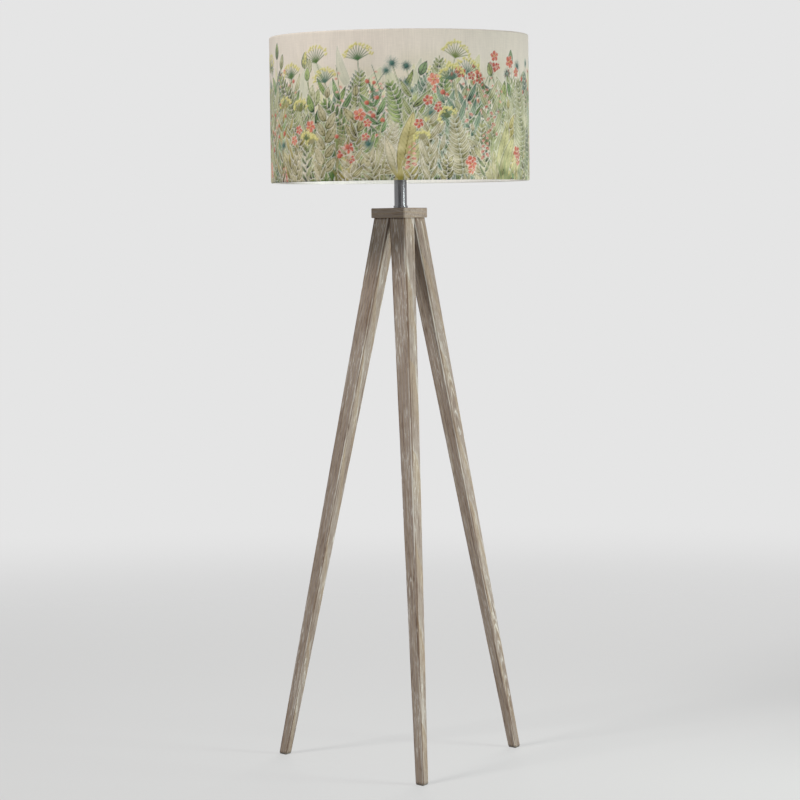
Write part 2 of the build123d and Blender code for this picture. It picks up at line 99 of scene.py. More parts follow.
def linear(colour: str) -> tuple[float, float, float, float]:
    """Turn an sRGB hex colour into linear light.

    Args:
        colour: The colour as "#rrggbb".

    Returns:
        Linear red, green, blue and an alpha of one.
    """
    parts = [int(colour[place : place + 2], 16) / 255 for place in (1, 3, 5)]
    red, green, blue = (
        part / 12.92 if part <= 0.04045 else ((part + 0.055) / 1.055) ** 2.4 for part in parts
    )
    return red, green, blue, 1.0


def rgb(colour: str) -> np.ndarray:
    """Turn an sRGB hex colour into linear red, green and blue."""
    return np.array(linear(colour)[:3])


def per_metre(size_mm: float) -> float:
    """Texture scale at which one pattern repeat is size_mm long."""
    return 1 / (size_mm * MILLIMETRE)


def add(
    tree: bpy.types.NodeTree,
    kind: str,
    inputs: dict | None = None,
    stops: list | None = None,
    **settings: object,
) -> bpy.types.Node:
    """Add a node with its settings and links.

    Args:
        tree: The node tree that takes the node.
        kind: The node's type name.
        inputs: Socket name or index to a value, or to another node's output to link.
        stops: Positions and colours of a colour ramp, from low to high.
        **settings: The node's own properties.

    Returns:
        The new node.
    """
    node = tree.nodes.new(kind)
    for name, value in settings.items():
        setattr(node, name, value)
    for name, value in (inputs or {}).items():
        if isinstance(value, bpy.types.NodeSocket):
            tree.links.new(value, node.inputs[name])
        else:
            node.inputs[name].default_value = value
    for index, (position, colour) in enumerate(stops or []):
        ramp = node.color_ramp.elements
        element = ramp[index] if index < 2 else ramp.new(position)
        element.position = position
        element.color = colour
    return node


def seen_share(tree: bpy.types.NodeTree, rays: tuple[str, ...]) -> bpy.types.NodeSocket:
    """Tell the rays that show a thing from those that only carry its light.

    Args:
        tree: The node tree.
        rays: Names of the kinds of ray that show it.

    Returns:
        One for those rays and zero for all others.
    """
    path = add(tree, "ShaderNodeLightPath")
    seen = path.outputs[rays[0]]
    for ray in rays[1:]:
        either = {0: seen, 1: path.outputs[ray]}
        seen = add(tree, "ShaderNodeMath", either, operation="MAXIMUM").outputs[0]
    return seen


def fresh_material(name: str) -> tuple[bpy.types.Material, bpy.types.NodeTree]:
    """Make an empty node material.

    Args:
        name: The material's name.

    Returns:
        The material and its node tree.
    """
    material = bpy.data.materials.new(name)
    material.use_nodes = True
    material.node_tree.nodes.clear()
    return material, material.node_tree


def dress(piece: bpy.types.Object, material: bpy.types.Material) -> None:
    """Give every material slot of a piece one material.

    Args:
        piece: The piece.
        material: Its material.
    """
    if not piece.material_slots:
        piece.data.materials.append(material)
    for place in piece.material_slots:
        place.material = material


def cloud(
    rows: int, columns: int, down: int, around: int, rng: np.random.Generator
) -> np.ndarray:
    """Draw soft noise from 0 to 1 that joins up with itself from last column to first.

    Args:
        rows: Rows of the result.
        columns: Columns of the result.
        down: Number of noise cells from first row to last.
        around: Number of noise cells round the columns.
        rng: The seeded generator.

    Returns:
        The noise, rows by columns.
    """
    knots = rng.random((down + 2, around))
    across = np.arange(columns) * around / columns
    along = np.linspace(0, down, rows)
    column = np.floor(across).astype(int)
    row = np.minimum(np.floor(along).astype(int), down)
    part_x = across - column
    part_y = along - row
    part_x = part_x * part_x * (3 - 2 * part_x)
    part_y = (part_y * part_y * (3 - 2 * part_y))[:, None]
    following = (column + 1) % around
    low = knots[np.ix_(row, column)] * (1 - part_x) + knots[np.ix_(row, following)] * part_x
    high = knots[np.ix_(row + 1, column)] * (1 - part_x)
    high = high + knots[np.ix_(row + 1, following)] * part_x
    return low * (1 - part_y) + high * part_y


def rise(value: np.ndarray, low: float, high: float) -> np.ndarray:
    """Go smoothly from 0 at low to 1 at high."""
    part = np.clip((value - low) / (high - low), 0, 1)
    return part * part * (3 - 2 * part)


def node_points(node: bpy.types.Object) -> np.ndarray:
    """Read the vertices of a frame node.

    Args:
        node: The frame node.

    Returns:
        The points, one row each.
    """
    points = np.zeros(len(node.data.vertices) * 3)
    node.data.vertices.foreach_get("co", points)
    return points.reshape(-1, 3)


def hull(points: np.ndarray) -> np.ndarray:
    """Find the convex outline of flat points.

    Args:
        points: The points, two numbers each.

    Returns:
        The outline's corners, anticlockwise.
    """
    ordered = sorted({(round(float(x), 7), round(float(y), 7)) for x, y in points})
    chains = []
    for run in (ordered, ordered[::-1]):
        chain: list = []
        for point in run:
            while len(chain) > 1:
                (x0, y0), (x1, y1) = chain[-2], chain[-1]
                if (x1 - x0) * (point[1] - y0) - (y1 - y0) * (point[0] - x0) > TINY:
                    break
                chain.pop()
            chain.append(point)
        chains.append(chain[:-1])
    return np.array(chains[0] + chains[1])


def reach_of(outline: np.ndarray, centre: np.ndarray, angles: np.ndarray) -> np.ndarray:
    """Measure from a centre to a convex outline.

    Args:
        outline: The outline's corners, anticlockwise.
        centre: A point inside it.
        angles: Directions in radians.

    Returns:
        The distance to the outline in each direction.
    """
    edges = np.roll(outline, -1, axis=0) - outline
    normals = np.stack([edges[:, 1], -edges[:, 0]], axis=1)
    offsets = ((outline - centre) * normals).sum(axis=1)
    headings = np.stack([np.cos(angles), np.sin(angles)], axis=1)
    facing = headings @ normals.T
    ahead = facing > TINY
    distances = np.where(ahead, offsets / np.where(ahead, facing, 1), np.inf)
    return distances.min(axis=1)


def lofted(
    name: str, rings: np.ndarray, loop: bool, maps: dict[str, np.ndarray]
) -> bpy.types.Object:
    """Skin a stack of closed rings into one closed piece.

    Args:
        name: The piece's name.
        rings: Ring by point by coordinate.
        loop: True where the last ring joins the first, False where both ends are capped.
        maps: UV maps by name, each ring by point by corner by two.

    Returns:
        The piece, linked to the scene.
    """
    levels, around = rings.shape[:2]
    index = np.arange(levels * around).reshape(levels, around)
    if loop:
        upper = np.roll(index, -1, axis=0)
        lower = index
    else:
        upper = index[1:]
        lower = index[:-1]
    quads = np.stack(
        [lower, np.roll(lower, -1, axis=1), np.roll(upper, -1, axis=1), upper], axis=2
    )
    faces = quads.reshape(-1, 4).tolist()
    if not loop:
        faces.append(index[0][::-1].tolist())
        faces.append(index[-1].tolist())
    mesh = bpy.data.meshes.new(name)
    mesh.from_pydata(rings.reshape(-1, 3).tolist(), [], faces)
    for map_name, corners in maps.items():
        layer = mesh.uv_layers.new(name=map_name)
        values = np.zeros((len(mesh.loops), 2), np.float32)
        flat = corners.reshape(-1, 2)
        values[: len(flat)] = flat
        layer.data.foreach_set("uv", values.ravel())
    mesh.shade_smooth()
    piece = bpy.data.objects.new(name, mesh)
    bpy.context.scene.collection.objects.link(piece)
    return piece


def store(piece: bpy.types.Object, name: str, kind: str, values: np.ndarray) -> None:
    """Store one value per vertex on a piece.

    Args:
        piece: The piece.
        name: The attribute's name.
        kind: FLOAT, FLOAT_VECTOR or FLOAT_COLOR.
        values: The values, one row per vertex.
    """
    key = {"FLOAT": "value", "FLOAT_VECTOR": "vector", "FLOAT_COLOR": "color"}[kind]
    layer = piece.data.attributes.new(name, kind, "POINT")
    layer.data.foreach_set(key, np.ascontiguousarray(values, np.float32).ravel())


@dataclass(frozen=True)
class LimedWood:
    """Sawn hardwood, brushed out and limed, then left to grey: matt, with pale pores."""

    name: str
    source: GrainSource
    grey: str = "#918378"
    brown: str = "#5f4836"
    pale: str = "#b4a999"
    lime: str = "#d8d3ca"
    tan: str = "#998468"
    # Growth rings are 5 to 8 mm apart in the sawn face. The pores are 0.3 mm wide and 10 mm
    # long: they are drawn 2.6 mm wide and 21 mm long, as narrow as the render can show.
    ring_mm: float = 8.0
    pore_mm: float = 2.6
    streak_mm: float = 5.5
    patch_mm: float = 60.0
    # Length along the grain of each pattern, in its own widths.
    pore_stretch: float = 8.0
    streak_stretch: float = 30.0
    patch_stretch: float = 2.5
    arch_mm: float = 46.0
    arch_width_mm: float = 11.0
    lime_share: float = 0.85
    pore_share: float = 0.75
    pore_depth_mm: float = 0.3

    def layer(
        self,
        tree: bpy.types.NodeTree,
        under: bpy.types.NodeSocket,
        colour: str,
        most: float,
        patterns: tuple[tuple[bpy.types.NodeSocket, float, float], ...],
    ) -> bpy.types.NodeSocket:
        """Lay one thin colour over another, where all of its patterns let it show.

        Args:
            tree: The material's node tree.
            under: The colour below.
            colour: The new colour.
            most: How much the new colour covers at most.
            patterns: Each pattern, the value at which it hides the new colour, and the value
                at which it shows all of it.

        Returns:
            The mixed colour.
        """
        share: bpy.types.NodeSocket | float = most
        for value, start, end in patterns:
            limits = {"Value": value, "From Min": start, "From Max": end}
            part = add(tree, "ShaderNodeMapRange", limits).outputs["Result"]
            both = {0: part, 1: share}
            share = add(tree, "ShaderNodeMath", both, operation="MULTIPLY").outputs[0]
        sockets = {0: share, 6: under, 7: linear(colour)}
        return add(tree, "ShaderNodeMix", sockets, data_type="RGBA").outputs[2]

    def arches(
        self,
        tree: bpy.types.NodeTree,
        place: bpy.types.NodeSocket,
        drift: bpy.types.NodeSocket,
    ) -> tuple[bpy.types.NodeSocket, bpy.types.NodeSocket]:
        """Draw the pointed arches of a flat-sawn face, one above another along its middle.

        Args:
            tree: The material's node tree.
            place: The grain coordinates.
            drift: A slow pattern that spaces the arches unevenly.

        Returns:
            The arches as waves, and the distance from the face's middle in arch widths.
        """
        along = add(tree, "ShaderNodeSeparateXYZ", {"Vector": place}).outputs["Z"]
        middle = add(tree, "ShaderNodeAttribute", attribute_name="middle").outputs["Fac"]
        aside = add(
            tree,
            "ShaderNodeMath",
            {0: middle, 1: per_metre(self.arch_width_mm)},
            operation="MULTIPLY",
        ).outputs[0]
        square = {0: aside, 1: aside}
        steps = add(tree, "ShaderNodeMath", square, operation="MULTIPLY").outputs[0]
        for value, times in ((along, per_metre(self.arch_mm)), (drift, 5.0)):
            sockets = {0: value, 1: times, 2: steps}
            steps = add(tree, "ShaderNodeMath", sockets, operation="MULTIPLY_ADD").outputs[0]
        turns = {0: steps, 1: 2 * math.pi}
        angle = add(tree, "ShaderNodeMath", turns, operation="MULTIPLY").outputs[0]
        waves = add(tree, "ShaderNodeMath", {0: angle}, operation="SINE").outputs[0]
        return waves, aside

    def build(self) -> bpy.types.Material:
        """Make the material.

        Returns:
            The finished material.
        """
        material, tree = fresh_material(self.name)
        if self.source is GrainSource.PIECE:
            place = add(tree, "ShaderNodeAttribute", attribute_name="grain").outputs["Vector"]
        else:
            # The plate's grain lies level, along one of its three sides.
            place = add(tree, "ShaderNodeTexCoord").outputs["Object"]
            for turn in ((0.0, 0.0, math.radians(60.0)), (0.0, math.radians(-90.0), 0.0)):
                place = add(
                    tree, "ShaderNodeMapping", {"Vector": place, "Rotation": turn}
                ).outputs["Vector"]
        leaning = add(
            tree,
            "ShaderNodeMapping",
            {"Vector": place, "Location": (0.030, 0.022, 0.0), "Rotation": (0.025, 0.035, 0.0)},
        ).outputs["Vector"]
        # A wave node's ring repeats every 2 pi / 20 of its scaled distance.
        rings = add(
            tree,
            "ShaderNodeTexWave",
            {
                "Vector": leaning,
                "Scale": per_metre(self.ring_mm) * math.pi / 10,
                "Distortion": 2.5,
                "Detail": 2.0,
                "Detail Scale": 0.25,
                "Detail Roughness": 0.5,
            },
            wave_type="RINGS",
            rings_direction="Z",
            wave_profile="SAW",
        ).outputs["Fac"]
        # Streaks, pores and patches are noise, drawn out along the grain.
        sizes = (
            (self.streak_mm, self.streak_stretch, 4.0),
            (self.pore_mm, self.pore_stretch, 3.0),
            (self.patch_mm, self.patch_stretch, 3.0),
        )
        patterns = []
        for size_mm, stretch, detail in sizes:
            drawn = add(
                tree, "ShaderNodeMapping", {"Vector": place, "Scale": (1.0, 1.0, 1 / stretch)}
            ).outputs["Vector"]
            noise = add(
                tree,
                "ShaderNodeTexNoise",
                {
                    "Vector": drawn,
                    "Scale": per_metre(size_mm),
                    "Detail": detail,
                    "Roughness": 0.65,
                },
            )
            patterns.append(noise.outputs["Fac"])
        streaks, pores, patches = patterns
        colour = add(
            tree,
            "ShaderNodeValToRGB",
            {"Fac": streaks},
            [
                (0.32, linear(self.brown)),
                (0.44, linear(self.grey)),
                (0.56, linear(self.grey)),
                (0.70, linear(self.pale)),
            ],
        ).outputs["Color"]
        dull = (patches, 0.58, 0.41)
        bright = (patches, 0.42, 0.61)
        lime = self.lime_share
        colour = self.layer(tree, colour, self.tan, 0.55, ((rings, 0.50, 1.0),))
        dark_pores = ((pores, 0.47, 0.36), dull)
        colour = self.layer(tree, colour, self.brown, self.pore_share, dark_pores)
        colour = self.layer(tree, colour, self.lime, lime, ((pores, 0.54, 0.65), bright))
        colour = self.layer(tree, colour, self.lime, 0.6 * lime, ((rings, 0.20, 0.0), bright))
        if self.source is GrainSource.PIECE:
            # A brown band of painted shade lies on one side of each arris, and the arris itself is
            # painted
            # paler in broken lengths: partly wood rubbed down by handling, partly a painted highlight.
            arris = add(tree, "ShaderNodeAttribute", attribute_name="arris").outputs["Fac"]
            band = add(tree, "ShaderNodeAttribute", attribute_name="band").outputs["Fac"]
            painted_arris_shade = ((streaks, 0.70, 0.48), (band, 0.0, 1.0))
            colour = self.layer(tree, colour, self.brown, 0.95, painted_arris_shade)
            rubbed_and_highlit = ((arris, 0.93, 1.0), (streaks, 0.47, 0.57))
            colour = self.layer(tree, colour, self.lime, 0.75, rubbed_and_highlit)
            waves, aside = self.arches(tree, place, patches)
            spaces = ((waves, -0.10, -0.80), (aside, 0.95, 0.55))
            colour = self.layer(tree, colour, self.brown, 0.35, spaces)
            figure = ((waves, 0.55, 0.97), (aside, 0.95, 0.55), (pores, 0.40, 0.56))
            colour = self.layer(tree, colour, self.lime, 0.8 * lime, figure)
        height = add(tree, "ShaderNodeMath", {0: streaks, 1: pores}, operation="ADD").outputs[0]
        bump = add(
            tree,
            "ShaderNodeBump",
            {"Height": height, "Strength": 0.6, "Distance": self.pore_depth_mm * MILLIMETRE},
        ).outputs["Normal"]
        roughness = add(
            tree,
            "ShaderNodeMapRange",
            {"Value": streaks, "From Min": 0.3, "From Max": 0.7, "To Min": 0.66, "To Max": 0.84},
        ).outputs["Result"]
        shader = add(
            tree,
            "ShaderNodeBsdfPrincipled",
            {
                "Base Color": colour,
                "Roughness": roughness,
                "Normal": bump,
                "IOR": 1.48,
                "Specular IOR Level": 0.35,
            },
        )
        add(tree, "ShaderNodeOutputMaterial", {"Surface": shader.outputs[0]})
        return material


@dataclass(frozen=True)
class PrintedLinen:
    """Plain-woven linen printed in watercolour tones: dull, slubby, a little fuzzy."""

    name: str = "printed_linen"
    # Threads of a lampshade linen are 0.5 mm apart: they are drawn 2.2 mm apart to show.
    thread_mm: float = 2.2
    slub_mm: float = 26.0
    thread_depth_mm: float = 0.12

    def build(self) -> bpy.types.Material:
        """Make the material.

        Returns:
            The finished material.
        """
        material, tree = fresh_material(self.name)
        print_colour = add(tree, "ShaderNodeAttribute", attribute_name="print").outputs["Color"]
        cloth = add(tree, "ShaderNodeUVMap", uv_map="cloth").outputs["UV"]
        threads = {}
        for run, stretch in (("warp", (1.0, 0.05, 1.0)), ("weft", (0.12, 1.3, 1.0))):
            drawn = add(
                tree, "ShaderNodeMapping", {"Vector": cloth, "Scale": stretch}
            ).outputs["Vector"]
            threads[run] = add(
                tree,
                "ShaderNodeTexNoise",
                {
                    "Vector": drawn,
                    "Scale": per_metre(self.thread_mm),
                    "Detail": 2.0,
                    "Roughness": 0.6,
                },
            ).outputs["Fac"]
        slubs = add(
            tree,
            "ShaderNodeTexNoise",
            {
                "Vector": add(
                    tree, "ShaderNodeMapping", {"Vector": cloth, "Scale": (1.0, 0.3, 1.0)}
                ).outputs["Vector"],
                "Scale": per_metre(self.slub_mm),
                "Detail": 3.0,
            },
        ).outputs["Fac"]
        weave = add(
            tree,
            "ShaderNodeMath",
            {0: threads["weft"], 1: 0.6, 2: threads["warp"]},
            operation="MULTIPLY_ADD",
        ).outputs[0]
        thread_shade = add(
            tree,
            "ShaderNodeMapRange",
            {"Value": weave, "From Min": 0.5, "From Max": 1.1, "To Min": 0.92, "To Max": 1.06},
        ).outputs["Result"]
        slub_shade = add(
            tree,
            "ShaderNodeMapRange",
            {"Value": slubs, "From Min": 0.3, "From Max": 0.7, "To Min": 0.96, "To Max": 1.03},
        ).outputs["Result"]
        shade = add(
            tree, "ShaderNodeMath", {0: thread_shade, 1: slub_shade}, operation="MULTIPLY"
        ).outputs[0]
        woven = add(
            tree, "ShaderNodeVectorMath", {0: print_colour, "Scale": shade}, operation="SCALE"
        ).outputs[0]
        bump = add(
            tree,
            "ShaderNodeBump",
            {"Height": weave, "Strength": 0.7, "Distance": self.thread_depth_mm * MILLIMETRE},
        ).outputs["Normal"]
        shader = add(
            tree,
            "ShaderNodeBsdfPrincipled",
            {
                "Base Color": woven,
                "Roughness": 0.9,
                "IOR": 1.5,
                "Specular IOR Level": 0.2,
                "Sheen Weight": 0.15,
                "Sheen Roughness": 0.5,
                "Normal": bump,
            },
        )
        add(tree, "ShaderNodeOutputMaterial", {"Surface": shader.outputs[0]})
        return material


@dataclass(frozen=True)
class GrainedFinish:
    """A metal, plastic, glass or ceramic with a fine grit in its colour, gloss and skin."""

    name: str
    colour: str
    second: str
    roughness: float
    spread: float
    grit_mm: float
    depth_mm: float = 0.02
    metallic: float = 0.0
    ior: float = 1.5
    coat: float = 0.0
    sheen: float = 0.0
    subsurface: float = 0.0
    draw: tuple[float, float, float] = (1.0, 1.0, 1.0)
    smear_mm: float = 22.0

    def build(self) -> bpy.types.Material:
        """Make the material.

        Returns:
            The finished material.
        """
        material, tree = fresh_material(self.name)
        place = add(tree, "ShaderNodeTexCoord").outputs["Object"]
        drawn = add(
            tree, "ShaderNodeMapping", {"Vector": place, "Scale": self.draw}
        ).outputs["Vector"]
        grit = add(
            tree,
            "ShaderNodeTexNoise",
            {"Vector": drawn, "Scale": per_metre(self.grit_mm), "Detail": 3.0},
        ).outputs["Fac"]
        smears = add(
            tree,
            "ShaderNodeTexNoise",
            {"Vector": place, "Scale": per_metre(self.smear_mm), "Detail": 2.0},
        ).outputs["Fac"]
        colour = add(
            tree,
            "ShaderNodeValToRGB",
            {"Fac": grit},
            [(0.35, linear(self.second)), (0.62, linear(self.colour))],
        ).outputs["Color"]
        gloss = add(
            tree, "ShaderNodeMath", {0: grit, 1: smears}, operation="ADD"
        ).outputs[0]
        roughness = add(
            tree,
            "ShaderNodeMapRange",
            {
                "Value": gloss,
                "From Min": 0.7,
                "From Max": 1.3,
                "To Min": max(0.02, self.roughness - self.spread),
                "To Max": self.roughness + self.spread,
            },
        ).outputs["Result"]
        bump = add(
            tree,
            "ShaderNodeBump",
            {"Height": grit, "Strength": 0.5, "Distance": self.depth_mm * MILLIMETRE},
        ).outputs["Normal"]
        constants = {
            "Metallic": self.metallic,
            "IOR": self.ior,
            "Coat Weight": self.coat,
            "Sheen Weight": self.sheen,
            "Subsurface Weight": self.subsurface,
        }
        shader = add(
            tree,
            "ShaderNodeBsdfPrincipled",
            {"Base Color": colour, "Roughness": roughness, "Normal": bump} | constants,
        )
        shader.inputs["Subsurface Scale"].default_value = 2 * MILLIMETRE
        add(tree, "ShaderNodeOutputMaterial", {"Surface": shader.outputs[0]})
        return material


@dataclass(frozen=True)
class Palette:
    """The print's colours. Each pair is a dark tone and a light one."""

    ground: str = "#dfd4c6"
    rim: str = "#ebe4d6"
    # Thin greens: colour, strength, and number of clouds round the cloth.
    floods: tuple[tuple[str, float, int], ...] = (
        ("#bdbb90", 0.36, 30),
        ("#cbc28e", 0.30, 22),
        ("#a5ab88", 0.26, 26),
    )
    faded: tuple[Tones, ...] = (
        ("#b3b893", "#cfcfae"),
        ("#adb198", "#cdceb4"),
        ("#d9bfa6", "#e4d2bf"),
        ("#c5c285", "#d9d5a8"),
    )
    fresh: tuple[Tones, ...] = (
        ("#506c36", "#b0bf77"),
        ("#466a3f", "#a5bb82"),
        ("#4a6a58", "#a9b799"),
        ("#6c7a40", "#cacd90"),
        ("#7b8352", "#d0cfa3"),
        ("#8f9067", "#d8d3b2"),
    )
    olive: tuple[Tones, ...] = (
        ("#757644", "#d0c995"),
        ("#938848", "#dcce97"),
        ("#827d50", "#d4caa2"),
        ("#a59d7e", "#e4dbc7"),
        ("#938c67", "#dacfb1"),
        ("#5d6c46", "#bbbc8b"),
    )
    petals: tuple[Tones, ...] = (
        ("#b94a36", "#e08266"),
        ("#c45c45", "#e69c80"),
        ("#ad4432", "#d8725a"),
    )
    stamens: Tones = ("#a5632f", "#e3c463")
    umbel: Tones = ("#b8ad55", "#e4dca0")
    seed_hairs: Tones = ("#41635c", "#c9cdbd")
    seed_heart: Tones = ("#35544e", "#5d7f72")
    berry: Tones = ("#a23c36", "#d9806a")
    bell: Tones = ("#bd6f60", "#ecc3b2")


@dataclass(frozen=True)
class Band:
    """One row of painted plants, with their heights in parts of the cloth's height."""

    count: int
    least: float
    most: float
    habits: list[Habit]
    greens: tuple[Tones, ...]


@dataclass(frozen=True)
class Stem:
    """A stem, or the middle line of a leaf, from its foot round and up the unrolled cloth.

    Its heading is measured from upright, in radians, clockwise. Its bend is how far its tip
    curves aside, in lengths.
    """

    u: float
    v: float
    length: float
    heading: float
    bend: float = 0.0

    def at(self, part: float) -> tuple[float, float]:
        """Find a point on it.

        Args:
            part: How far up, from 0 to 1.

        Returns:
            Distance round the cloth, and height.
        """
        along = self.length * part
        side = self.bend * self.length * part * part
        return (
            self.u + along * math.sin(self.heading) + side * math.cos(self.heading),
            self.v + along * math.cos(self.heading) - side * math.sin(self.heading),
        )

    def turned(self, part: float) -> float:
        """Give its heading part of the way up."""
        return self.heading + self.bend * part


@dataclass
class ClothPrint:
    """A loose meadow of leaves and flowers, painted on the unrolled cloth of the shade."""

    around: float
    height: float
    columns: int
    rows: int
    seed: int = 11
    palette: Palette = Palette()
    faded_leaves: int = 220
    # Leaves of at least this half width show a rim, a pooled edge and a midrib.
    full_leaf: float = 3.0 * MILLIMETRE
    midrib: float = 0.8 * MILLIMETRE
    pool: float = 1.4 * MILLIMETRE
    vein_pitch: float = 8.5 * MILLIMETRE
    stem_width: float = 1.3 * MILLIMETRE
    margin: float = 3.0 * MILLIMETRE
    up: np.ndarray = field(init=False)
    canvas: np.ndarray = field(init=False)
    washes: np.ndarray = field(init=False)
    rng: np.random.Generator = field(init=False)

    def __post_init__(self) -> None:
        """Stretch the bare cloth and mix the washes."""
        self.rng = np.random.default_rng(self.seed)
        self.canvas = np.tile(rgb(self.palette.ground), (self.rows, self.columns, 1))
        fine = cloud(self.rows, self.columns, 24, 130, self.rng)
        broad = cloud(self.rows, self.columns, 7, 40, self.rng)
        self.washes = 0.55 * fine + 0.45 * broad
        self.up = np.linspace(0, self.height, self.rows)

    def window(
        self, u: float, v: float, reach: float
    ) -> tuple[np.ndarray, np.ndarray, np.ndarray, np.ndarray]:
        """Cut out the square of cloth round a point.

        Args:
            u: Distance round the cloth.
            v: Height on the cloth.
            reach: Half the square's side.

        Returns:
            Row numbers, column numbers, and the distances across and up from the point.
        """
        pitch = self.around / self.columns
        half = int(reach / pitch) + 2
        middle = int(round(u / pitch))
        steps = np.arange(middle - half, middle + half + 1)
        rows = np.nonzero(np.abs(self.up - v) <= reach + self.margin)[0]
        across, up = np.meshgrid(steps * pitch - u, self.up[rows] - v)
        return rows, steps % self.columns, across, up

    def lay(
        self, rows: np.ndarray, columns: np.ndarray, share: np.ndarray, colour: np.ndarray
    ) -> None:
        """Lay paint over part of the cloth.

        Args:
            rows: Row numbers.
            columns: Column numbers.
            share: How much of the paint covers, from 0 to 1.
            colour: Linear colour, one for all or one for each point.
        """
        place = np.ix_(rows, columns)
        share = share[..., None]
        self.canvas[place] = self.canvas[place] * (1 - share) + colour * share

    def pick(self, tones: tuple[Tones, ...]) -> Tones:
        """Draw one pair of tones."""
        return tones[self.rng.integers(len(tones))]

    def leaf(
        self,
        line: Stem,
        width: float,
        tones: Tones,
        cover: float,
        blunt: float = 0.75,
        veins: float = 0.0,
    ) -> None:
        """Paint one leaf or petal with a pooled edge and a midrib.

        Args:
            line: Its middle line.
            width: Its greatest half width.
            tones: Its colour at foot and edge, and at the tip.
            cover: How much of the cloth it covers, from 0 to 1.
            blunt: Below 1 the leaf is broadest near its foot, above 1 near its tip, and 0 is
                a stem.
            veins: Strength of its side veins.
        """
        reach = line.length * (1.05 + abs(line.bend))
        rows, columns, across, up = self.window(line.u, line.v, reach)
        if not len(rows):
            return
        along = across * math.sin(line.heading) + up * math.cos(line.heading)
        side = across * math.cos(line.heading) - up * math.sin(line.heading)
        part = np.clip(along / line.length, 0, 1)
        side = side - line.bend * line.length * part * part
        half = width * (np.sin(np.pi * part**blunt) ** 0.8 if blunt else 1 - 0.35 * part)
        inside = half - np.abs(side)
        share = rise(inside, -0.0006, 0.0010) * (along > 0) * (along < line.length)
        full = width > self.full_leaf
        if full:
            # A rim of bare cloth keeps each leaf apart from those behind it.
            bare = rise(inside, -0.0024, -0.0010)
            bare = bare * (along > -MILLIMETRE) * (along < line.length + MILLIMETRE)
            self.lay(rows, columns, bare * cover * 0.50, rgb(self.palette.rim))
        wash = self.washes[np.ix_(rows, columns)]
        tone = np.clip(part * 0.7 + (wash - 0.5) * 1.3 + 0.15, 0, 1)
        pooled = np.exp(-((np.maximum(inside, 0) / self.pool) ** 2))
        tone = tone - (1.0 if full else 0.2) * pooled
        if full:
            tone = tone - 0.6 * (np.abs(side) < self.midrib)
        if veins:
            slant = (along - np.abs(side) * 0.9) * 2 * np.pi / self.vein_pitch
            tone = tone - veins * (0.5 + 0.5 * np.sin(slant) > 0.82)
        tone = np.clip(tone, -0.6, 1)[..., None]
        low, high = map(rgb, tones)
        self.lay(rows, columns, share * cover, np.clip(low + (high - low) * tone, 0, 1))

    def stem(self, line: Stem, colour: str) -> None:
        """Paint one thin stem."""
        self.leaf(line, self.stem_width, (colour, colour), 0.9, 0.0)

    def dot(self, spot: tuple[float, float], radius: float, tones: Tones, cover: float) -> None:
        """Paint one round berry, bud or stamen, lighter to one side.

        Args:
            spot: Distance round the cloth and height of its middle.
            radius: Its radius.
            tones: Its colour on the shaded side and on the bright side.
            cover: How much of the cloth it covers, from 0 to 1.
        """
        rows, columns, across, up = self.window(*spot, radius * 1.4)
        distance = np.hypot(across, up)
        share = rise(radius - distance, -0.0007, 0.0008)
        tone = np.clip(0.5 + (up - across) / radius * 0.45, 0, 1)[..., None]
        low, high = map(rgb, tones)
        self.lay(rows, columns, share * cover, low + (high - low) * tone)

    def blossom(
        self, spot: tuple[float, float], radius: float, turn: float, tones: Tones
    ) -> None:
        """Paint one five-petalled flower with a yellow middle.

        Args:
            spot: Distance round the cloth and height of its middle.
            radius: Its radius.
            turn: Direction of its first petal.
            tones: Its colour at the middle and at the rim.
        """
        for petal in range(5):
            line = Stem(*spot, radius, turn + petal * 2 * math.pi / 5, 0.08)
            self.leaf(line, radius * 0.40, tones, 0.92, 1.5)
        self.dot(spot, radius * 0.2, self.palette.stamens, 0.9)

    def wash(self) -> None:
        """Flood the lower cloth with thin greens that fade upwards in clouds."""
        tall = cloud(self.rows, self.columns, 3, 26, self.rng)
        edge = 0.70 + 0.28 * tall
        level = (self.up / self.height)[:, None]
        fade = rise(edge - level, -0.05, 0.40)
        for colour, strength, cells in self.palette.floods:
            patch = rise(cloud(self.rows, self.columns, 6, cells, self.rng), 0.38, 0.72)
            share = (fade * patch * strength)[..., None]
            self.canvas = self.canvas * (1 - share) + rgb(colour) * share

    def grass(self, stem: Stem, tones: Tones) -> None:
        """Paint a tuft of blades.

        Args:
            stem: Gives the tuft's foot and height.
            tones: Colours of its blades.
        """
        rng = self.rng
        for _ in range(rng.integers(5, 9)):
            turn = rng.normal(0, 0.30)
            reach = stem.length * rng.uniform(0.6, 1.0)
            foot = stem.u + rng.normal(0, 0.006)
            self.leaf(Stem(foot, stem.v, reach, turn, turn * 0.9), 0.0021, tones, 0.75, 0.5)

    def paddles(self, stem: Stem, greens: tuple[Tones, ...]) -> None:
        """Paint tall upright leaves from one foot.

        Args:
            stem: Gives their foot, height and heading.
            greens: Colours that they may have.
        """
        rng = self.rng
        for index in range(int(rng.integers(3, 5))):
            turn = stem.heading + (index - 1.5) * rng.uniform(0.20, 0.34)
            reach = stem.length * rng.uniform(0.40, 0.85)
            line = Stem(stem.u, stem.v, reach, turn, turn * 0.3)
            self.leaf(line, reach * 0.09 + 0.004, self.pick(greens), 0.9, 1.0, 0.2)

